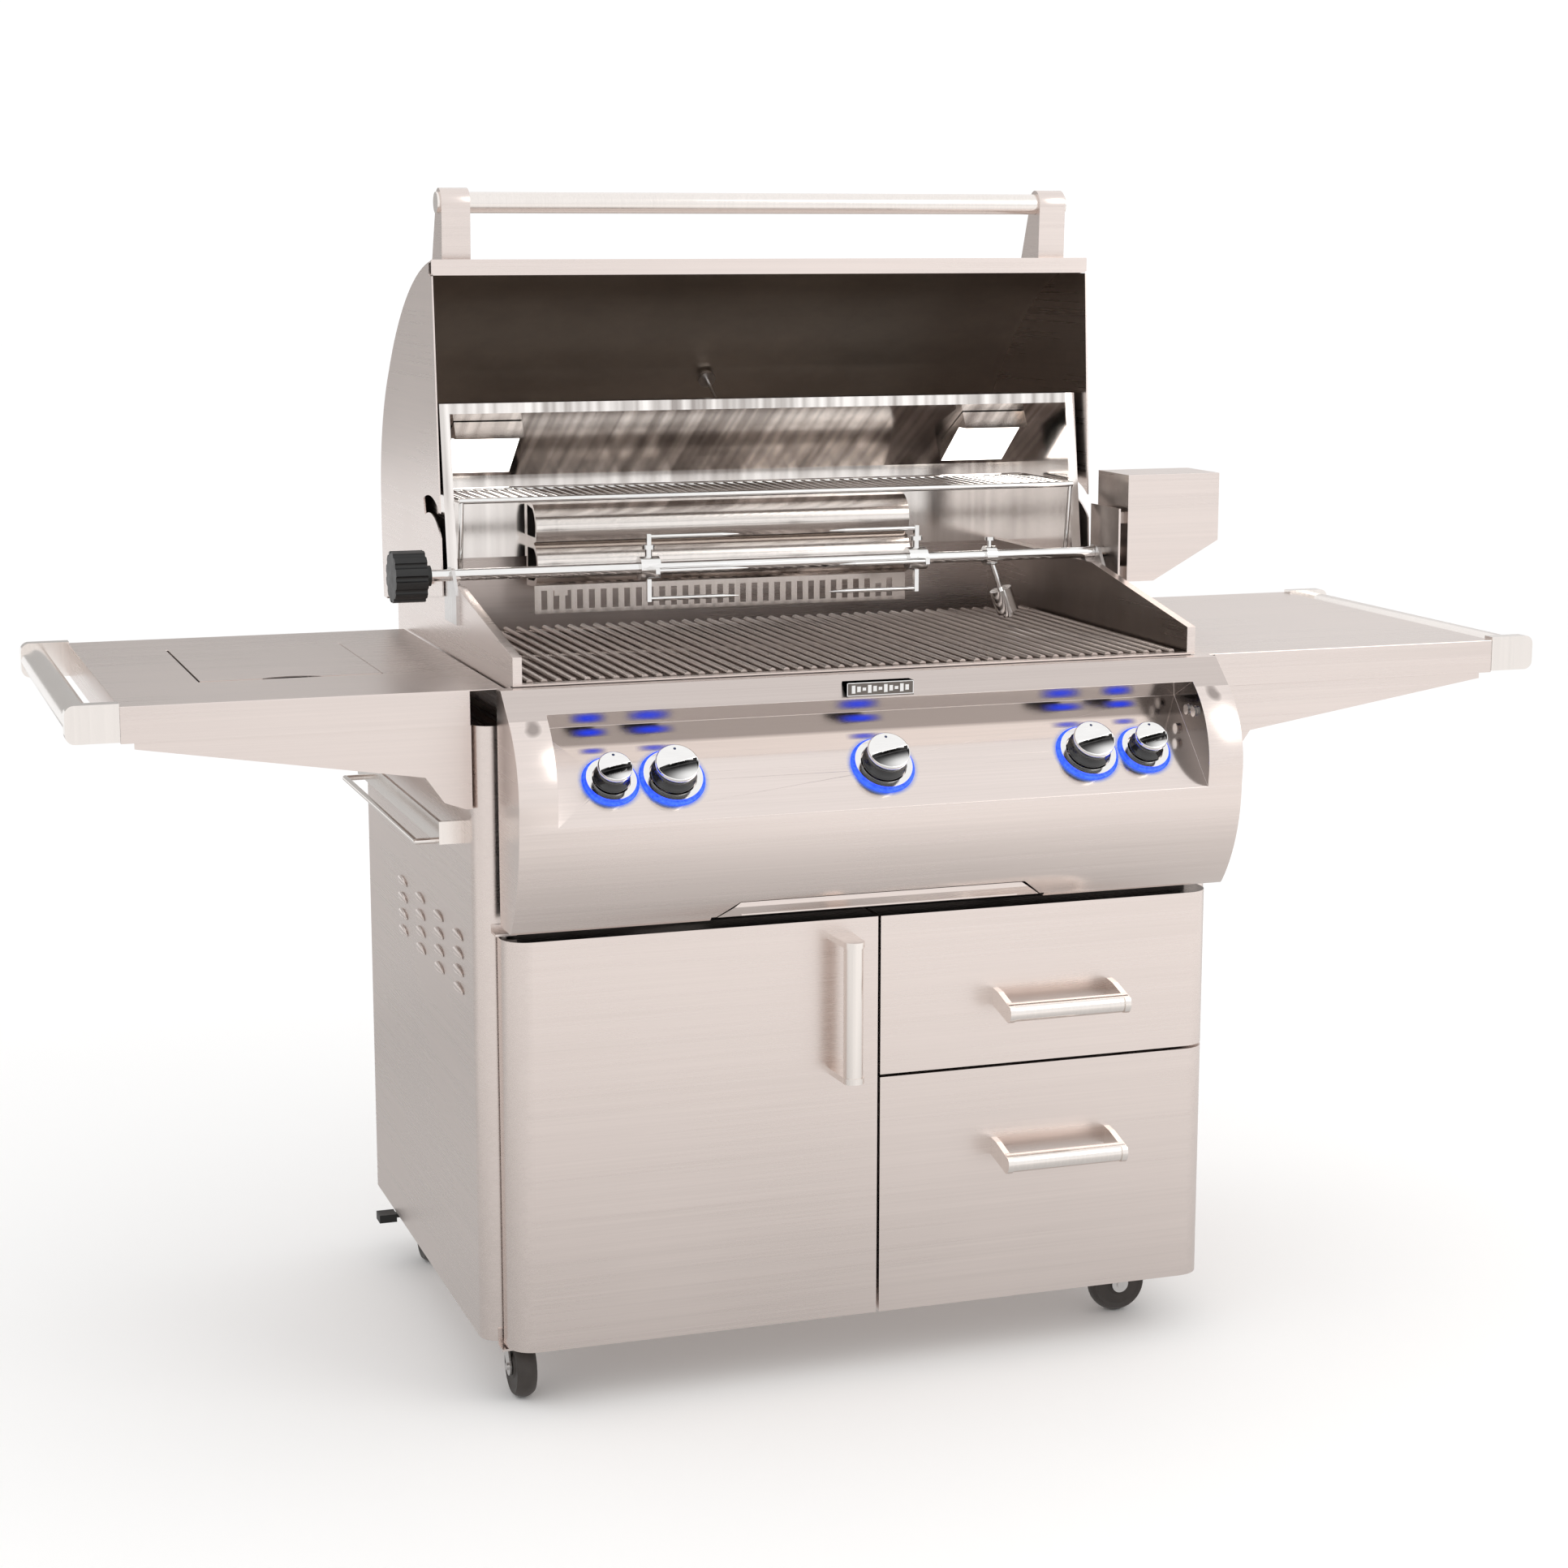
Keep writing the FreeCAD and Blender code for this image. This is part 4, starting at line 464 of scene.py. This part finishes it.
def knob(name):
    origin, axis, right, up = knob_frame(name)
    low, high, widest = reach(name, origin, axis)
    cap, length, steps = widest - 0.0015, high - low, 96
    side = [(widest, 0.0), (widest, 0.0022), (widest - 0.0009, 0.0032), (cap - 0.0038, length * 0.30),
            (cap - 0.0040, length * 0.48), (cap - 0.0022, length - 0.0088), (cap - 0.0012, length - 0.0080),
            (cap - 0.0002, length - 0.0074), (cap, length - 0.0066)]
    fractions = [1.0, 0.992, 0.975, 0.95, 0.92] + [0.9 - 0.9 * k / 30 for k in range(30)]
    vertices, faces, kinds = [], [], []

    def point(u, v, h):
        return origin + right * u + up * v + axis * (low + h)

    rings = [[(r * math.cos(2 * math.pi * k / steps), r * math.sin(2 * math.pi * k / steps), h)
              for k in range(steps)] for r, h in side]
    for f in fractions:
        ring = []
        for k in range(steps):
            u, v = (cap * f * fun(2 * math.pi * k / steps) for fun in (math.cos, math.sin))
            ring.append((u, v, cap_height(u, v, cap, length)))
        rings.append(ring)
    for ring in rings:
        vertices += [point(*p) for p in ring]
    for n in range(len(rings) - 1):
        for k in range(steps):
            a, b = n * steps + k, n * steps + (k + 1) % steps
            faces.append((a, b, b + steps, a + steps))
            kinds.append(0 if n < len(side) - 3 else 1)
    vertices.append(point(0, 0, cap_height(0, 0, cap, length)))
    last = (len(rings) - 1) * steps
    for k in range(steps):
        faces.append((last + k, last + (k + 1) % steps, len(vertices) - 1))
        kinds.append(1)
    start, mark = len(vertices), 0.0022
    middle_v = cap * 0.70
    lift = cap_height(0, middle_v, cap, length) - 0.00005
    for k in range(16):
        angle = 2 * math.pi * k / 16
        vertices.append(point(mark * math.cos(angle), middle_v + mark * math.sin(angle), lift))
    vertices.append(point(0, middle_v, lift + 0.00035))
    for k in range(16):
        faces.append((start + k, start + (k + 1) % 16, start + 16))
        kinds.append(2)
    # Painted reflection on the cap's half-moon cut: each point's 'halo' value runs from 0 at the ridge to 1
    # towards the rim, dark to bright.
    painted_reflection_shades = [0.0] * len(vertices)
    first_cap = len(side) * steps
    tilt = math.radians(12)
    for n in range(first_cap, start):
        offset = vertices[n] - origin
        u, v = offset.dot(right), offset.dot(up)
        below = (-0.02 * cap - (-u * math.sin(tilt) + v * math.cos(tilt))) / cap
        painted_reflection_shades[n] = smooth_step(0.15, 0.80, below) * smooth_step(-0.9, 0.7, u / cap + 0.2)
    for n, face in enumerate(faces):
        if kinds[n] == 1 and face[0] >= first_cap and len(face) > 2:
            spot = sum((vertices[k] for k in face), Vector()) / len(face) - origin
            u, v = spot.dot(right), spot.dot(up)
            below = (-0.02 * cap - (-u * math.sin(tilt) + v * math.cos(tilt))) / cap
            if below > 0.015 and math.hypot(u, v) < cap * 0.955:
                kinds[n] = 3
    thing = piece(f"{name}_detail", vertices, faces, name,
                  ("knob_side", "knob_cap", "index_mark", "knob_facet"), "polished_chrome", indices=kinds)
    layer = thing.data.attributes.new("halo", "FLOAT", "POINT")
    for n, value in enumerate(painted_reflection_shades):
        layer.data[n].value = value
    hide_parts(name)


def ring_lights():
    """A rounded light pipe round each bezel, and a painted glow on the panel round it, in place of the light it
    throws.
    """
    core, halo = ([], []), ([], [])
    fades = []
    steps = 96
    for name in KNOBS:
        origin, axis, right, up = knob_frame(name)
        bezel = reach(name, origin, axis)[2] + BEZEL_MARGIN
        profile = [(bezel - 0.002, 0.0022), (bezel + 0.0012, 0.0024), (bezel + 0.0024, 0.0016),
                   (bezel + 0.0030, 0.0002)]
        spread = [(bezel + 0.0028 + 0.007 * k / 6, 0.0004) for k in range(7)]
        for store, rows in ((core, profile), (halo, spread)):
            base = len(store[0])
            for r, h in rows:
                for k in range(steps):
                    angle = 2 * math.pi * k / steps
                    outward = right * math.cos(angle) + up * math.sin(angle)
                    store[0].append(origin + outward * r + axis * h)
            for n in range(len(rows) - 1):
                for k in range(steps):
                    a, b = base + n * steps + k, base + n * steps + (k + 1) % steps
                    store[1].append((a, b, b + steps, a + steps))
        # Painted glow: strongest next to the ring, fading outwards, and stronger on the ring's lower side.
        for n in range(7):
            for k in range(steps):
                angle = 2 * math.pi * k / steps
                low_side = 0.55 + 0.45 * max(0.0, -math.sin(angle + math.radians(35)))
                fades.append((1 - n / 6) * low_side)
    thing = piece("light_rings", *core, "cart", ("light_blue",), "light_blue")
    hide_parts("knob_light_rings")
    painted_spill = piece("painted_glow_spill", *halo, "cart", ("halo_blue",), "light_blue")
    layer = painted_spill.data.attributes.new("halo", "FLOAT", "POINT")
    for n, value in enumerate(fades):
        layer.data[n].value = value


def painted_light_reflections():
    """Two painted streaks over each knob that imitate its ring light mirrored in the recess."""
    vertices, faces, fades = [], [], []
    columns, rows = 16, 6
    for name in KNOBS:
        origin, axis, right, up = knob_frame(name)
        for rise, shift, wide, tall, strength in ((0.0765, -0.012, 0.036, 0.0075, 1.0),
                                                  (0.0480, -0.014, 0.026, 0.0055, 0.75)):
            if name in SMALL_KNOBS:
                wide = wide * 0.8
            base = len(vertices)
            for r in range(rows + 1):
                for c in range(columns + 1):
                    a, b = -1 + 2 * c / columns, -1 + 2 * r / rows
                    spot = origin + right * (shift + a * wide) + up * (rise + b * tall) + axis * 0.0005
                    vertices.append(spot)
                    fades.append(strength * (1 - a * a) ** 1.5 * (1 - b * b))
            for r in range(rows):
                for c in range(columns):
                    k = base + r * (columns + 1) + c
                    faces.append((k, k + 1, k + columns + 2, k + columns + 1))
    thing = piece("painted_light_reflections", vertices, faces, "cart", ("painted_reflection_blue",), "light_blue")
    layer = thing.data.attributes.new("halo", "FLOAT", "POINT")
    for n, value in enumerate(fades):
        layer.data[n].value = value


for name in KNOBS:
    knob(name)
ring_lights()
painted_light_reflections()


# ---------------------------------------------------------------- badge
def badge():
    """A plate with a bright raised frame and a row of plain raised bars on a dark field."""
    low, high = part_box("badge")
    x0, x1, z0, z1 = low.x, high.x, low.z, high.z
    front, back = low.y, high.y
    vertices, faces, kinds = [], [], []

    def slab(a, b, kind, rise):
        """A low block with sloped sides, standing out of the plate's front face."""
        slope = min(rise * 0.6, 0.0006)
        base = len(vertices)
        face = front + 0.0012 - rise
        for grow, depth in ((0.0, back), (0.0, face + slope), (slope, face)):
            for x, z in ((a[0] + grow, a[1] + grow), (b[0] - grow, a[1] + grow), (b[0] - grow, b[1] - grow),
                         (a[0] + grow, b[1] - grow)):
                vertices.append(Vector((x, depth, z)))
        for ring in (0, 4):
            for k in range(4):
                p, q = base + ring + k, base + ring + (k + 1) % 4
                faces.append((p, q, q + 4, p + 4))
                kinds.append(0)
        faces.append(tuple(base + 8 + k for k in range(4)))
        kinds.append(kind)

    slab((x0, z0), (x1, z1), 1, 0.0003)
    edge = 0.0014
    for a, b in (((x0, z0), (x1, z0 + edge)), ((x0, z1 - edge), (x1, z1)), ((x0, z0), (x0 + edge, z1)),
                 ((x1 - edge, z0), (x1, z1))):
        slab(a, b, 0, 0.0011)
    bars, gap = 11, 0.0022
    span = (x1 - x0 - 2 * edge - 0.008) / bars
    for k in range(bars):
        left = x0 + edge + 0.004 + k * span
        inset = 0.0035 + 0.0016 * (k % 3)
        slab((left + gap / 2, z0 + inset), (left + span - gap / 2, z1 - inset), 0, 0.0009)
    thing = piece("badge_plate", vertices, faces, "cart", ("polished_chrome", "badge_field"),
                  "polished_chrome", smooth=False, indices=kinds)
    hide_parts("badge")


badge()


# ---------------------------------------------------------------- side panel louvres
def louvres():
    """A pressed half-moon hood over each vent slot, standing out of the side sheet."""
    for side, name in ((-1, "left_side_panel"), (1, "right_side_panel")):
        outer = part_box(name)[0 if side < 0 else 1].x
        openings = slot_places(name, outer)
        vertices, faces = [], []
        for y, z, width, height in openings:
            base = len(vertices)
            rows, columns = 8, 16
            for r in range(rows + 1):
                lift_angle = math.pi * r / rows
                for c in range(columns + 1):
                    s = -1 + 2 * c / columns
                    swell = math.sqrt(max(0.0, 1 - s * s))
                    up = height * (0.10 + 0.95 * (1 - math.cos(lift_angle)) / 2 * swell)
                    out = 0.0046 * math.sin(lift_angle) ** 0.7 * swell if r else 0.0040 * swell
                    vertices.append(Vector((outer + side * (out + 0.0001), y + s * width * 0.56, z + up)))
            for r in range(rows):
                for c in range(columns):
                    a = base + r * (columns + 1) + c
                    quad = (a, a + 1, a + columns + 2, a + columns + 1)
                    faces.append(quad if side > 0 else quad[::-1])
        thing = piece(f"{name}_louvres", vertices, faces, "cart", ("brushed_steel",), "brushed_steel")
        thick = thing.modifiers.new("sheet", "SOLIDIFY")
        thick.thickness = 0.0006
        thick.offset = -1.0


def slot_places(name, outer):
    """(middle y, low z, width, height) of each vent slot, from the edge loops on the panel's outer face."""
    mesh = nodes[name].data
    inner = outer + (0.002 if outer < 0 else -0.002)
    box_low, box_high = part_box(name)
    walls = {}
    for polygon in mesh.polygons:
        middle = polygon.center
        if abs(middle.x - (outer + inner) / 2) < 0.0011 and abs(polygon.normal.x) < 0.3:
            along = box_low.y + 0.035 < middle.y < box_high.y - 0.03
            if along and box_low.z + 0.05 < middle.z < box_high.z - 0.05:
                for index in polygon.vertices:
                    p = mesh.vertices[index].co
                    walls.setdefault((round(p.y, 5), round(p.z, 5)), Vector((0, p.y, p.z)))
    groups = []
    for p in walls.values():
        home = next((g for g in groups if any((p - q).length < 0.018 for q in g)), None)
        if home is None:
            groups.append([p])
        else:
            home.append(p)
    places = []
    for group in groups:
        ys, zs = [p.y for p in group], [p.z for p in group]
        if max(ys) - min(ys) > 0.02:
            places.append(((min(ys) + max(ys)) / 2, min(zs), max(ys) - min(ys), max(zs) - min(zs)))
    return places


louvres()
for name, width in (("hood_brackets", 0.005), ("control_panel", 0.0010), ("left_shelf", 0.0010),
                    ("right_shelf", 0.0010),
                    ("rotisserie_motor", 0.0012), ("firebox", 0.0008)):
    soften(name, width)


# ---------------------------------------------------------------- floor, light and camera
def stage_plane(name, low, high, level):
    data = bpy.data.meshes.new(name)
    corners = [(x, y, level) for x, y in ((low[0], low[1]), (high[0], low[1]), high, (low[0], high[1]))]
    data.from_pydata(corners, [], [(0, 1, 2, 3)])
    thing = bpy.data.objects.new(name, data)
    bpy.context.scene.collection.objects.link(thing)
    return thing


def floor():
    thing = stage_plane("floor", (-40, -40), (40, 40), 0.0)
    t = Tree("floor_paint")
    patch = t.noise((1.0, 1.0, 1.0), size=1.5, detail=4.0)
    tone = t.mix(patch, rgb(0.955, 0.953, 0.950), rgb(0.965, 0.963, 0.960))
    thing.data.materials.append(t.surface(Base_Color=tone, Roughness=0.8))


def only_in_reflections(thing):
    thing.visible_camera = False
    thing.visible_diffuse = False
    thing.visible_shadow = False


def reflection_card():
    """A card that only reflections see, in place of the floor: greyer near the grill and to its left, as painted
    shade.
    """
    thing = stage_plane("floor_card", (-5, -5), (5, 5), 0.003)
    t = Tree("floor_card")
    split = t.node("ShaderNodeSeparateXYZ", {"Vector": t.place.outputs["Object"]})
    x, y = split.outputs[0], split.outputs[1]
    flat = t.vector("MULTIPLY", t.place.outputs["Object"], (0.75, 1.0, 0.0)).outputs[0]
    away = t.vector("LENGTH", flat).outputs["Value"]
    level = t.stretch(away, 0.35, 2.2, 0.57, 1.08)
    behind = t.stretch(y, 0.3, 1.6, 1.0, 0.64)
    leftness = t.stretch(x, -1.2, 0.8, 0.86, 1.03)
    value = t.maths("MULTIPLY", t.maths("MULTIPLY", level, leftness), behind)
    tone = t.vector("SCALE", (1.0, 0.985, 0.97))
    t.give(tone.inputs["Scale"], value)
    t.surface(Base_Color=BLACK, Roughness=1.0, Emission_Color=tone.outputs[0], Emission_Strength=1.0,
              Specular_IOR_Level=0.0)
    thing.data.materials.append(t.material)
    only_in_reflections(thing)


def grey_card(name, corners, near, far=None):
    """A grey card that only reflections see: one tone, or a tone that goes from near to far along X."""
    data = bpy.data.meshes.new(name)
    data.from_pydata(corners, [], [(0, 1, 2, 3)])
    thing = bpy.data.objects.new(name, data)
    bpy.context.scene.collection.objects.link(thing)
    t = Tree(name)
    tone = rgb(*near)
    if far:
        split = t.node("ShaderNodeSeparateXYZ", {"Vector": t.place.outputs["Object"]})
        drift = t.maths("ADD", split.outputs[0], t.noise((1.0, 1.0, 1.0), size=0.8, detail=1.0))
        tone = t.mix(t.stretch(drift, 1.2, 3.2, 0.0, 1.0), tone, rgb(*far))
    t.surface(Base_Color=BLACK, Roughness=1.0, Emission_Color=tone, Emission_Strength=1.0)
    data.materials.append(t.material)
    only_in_reflections(thing)


def studio():
    scene = bpy.context.scene
    scene.view_settings.view_transform = "Standard"
    world = bpy.data.worlds.new("studio")
    scene.world = world
    world.use_nodes = True
    world.node_tree.nodes["Background"].inputs["Color"].default_value = (1.0, 1.0, 1.0, 1.0)
    world.node_tree.nodes["Background"].inputs["Strength"].default_value = 1.06


def area_light(name, place, aim, size, power, colour=(1.0, 0.97, 0.93)):
    light = bpy.data.lights.new(name, "AREA")
    light.shape = "RECTANGLE"
    light.size, light.size_y = size
    light.energy = power
    light.color = colour
    thing = bpy.data.objects.new(name, light)
    bpy.context.scene.collection.objects.link(thing)
    thing.location = place
    thing.rotation_euler = (Vector(aim) - Vector(place)).to_track_quat("-Z", "Y").to_euler()


def camera():
    data = bpy.data.cameras.new("camera")
    data.lens = 69.35
    data.sensor_width = 36.0
    thing = bpy.data.objects.new("camera", data)
    bpy.context.scene.collection.objects.link(thing)
    thing.location = (-1.3610, -3.9984, 1.5180)
    thing.rotation_euler = Euler((math.radians(79.68), 0.0, math.radians(-18.79)), "XYZ")
    bpy.context.scene.camera = thing


floor()
reflection_card()
grey_card("back_card", [(-4.0, 4.2, 0.9), (5.5, 4.2, 0.9), (5.5, 4.2, 2.9), (-4.0, 4.2, 2.9)],
          (0.50, 0.49, 0.48), (0.80, 0.79, 0.78))
grey_card("left_card", [(-4.5, -2.5, 0.4), (-4.5, 4.0, 0.4), (-4.5, 4.0, 3.0), (-4.5, -2.5, 3.0)],
          (0.70, 0.69, 0.68))
studio()
area_light("key", (2.6, -3.0, 3.2), (0.0, 0.0, 0.9), (2.4, 2.4), 30)
camera()
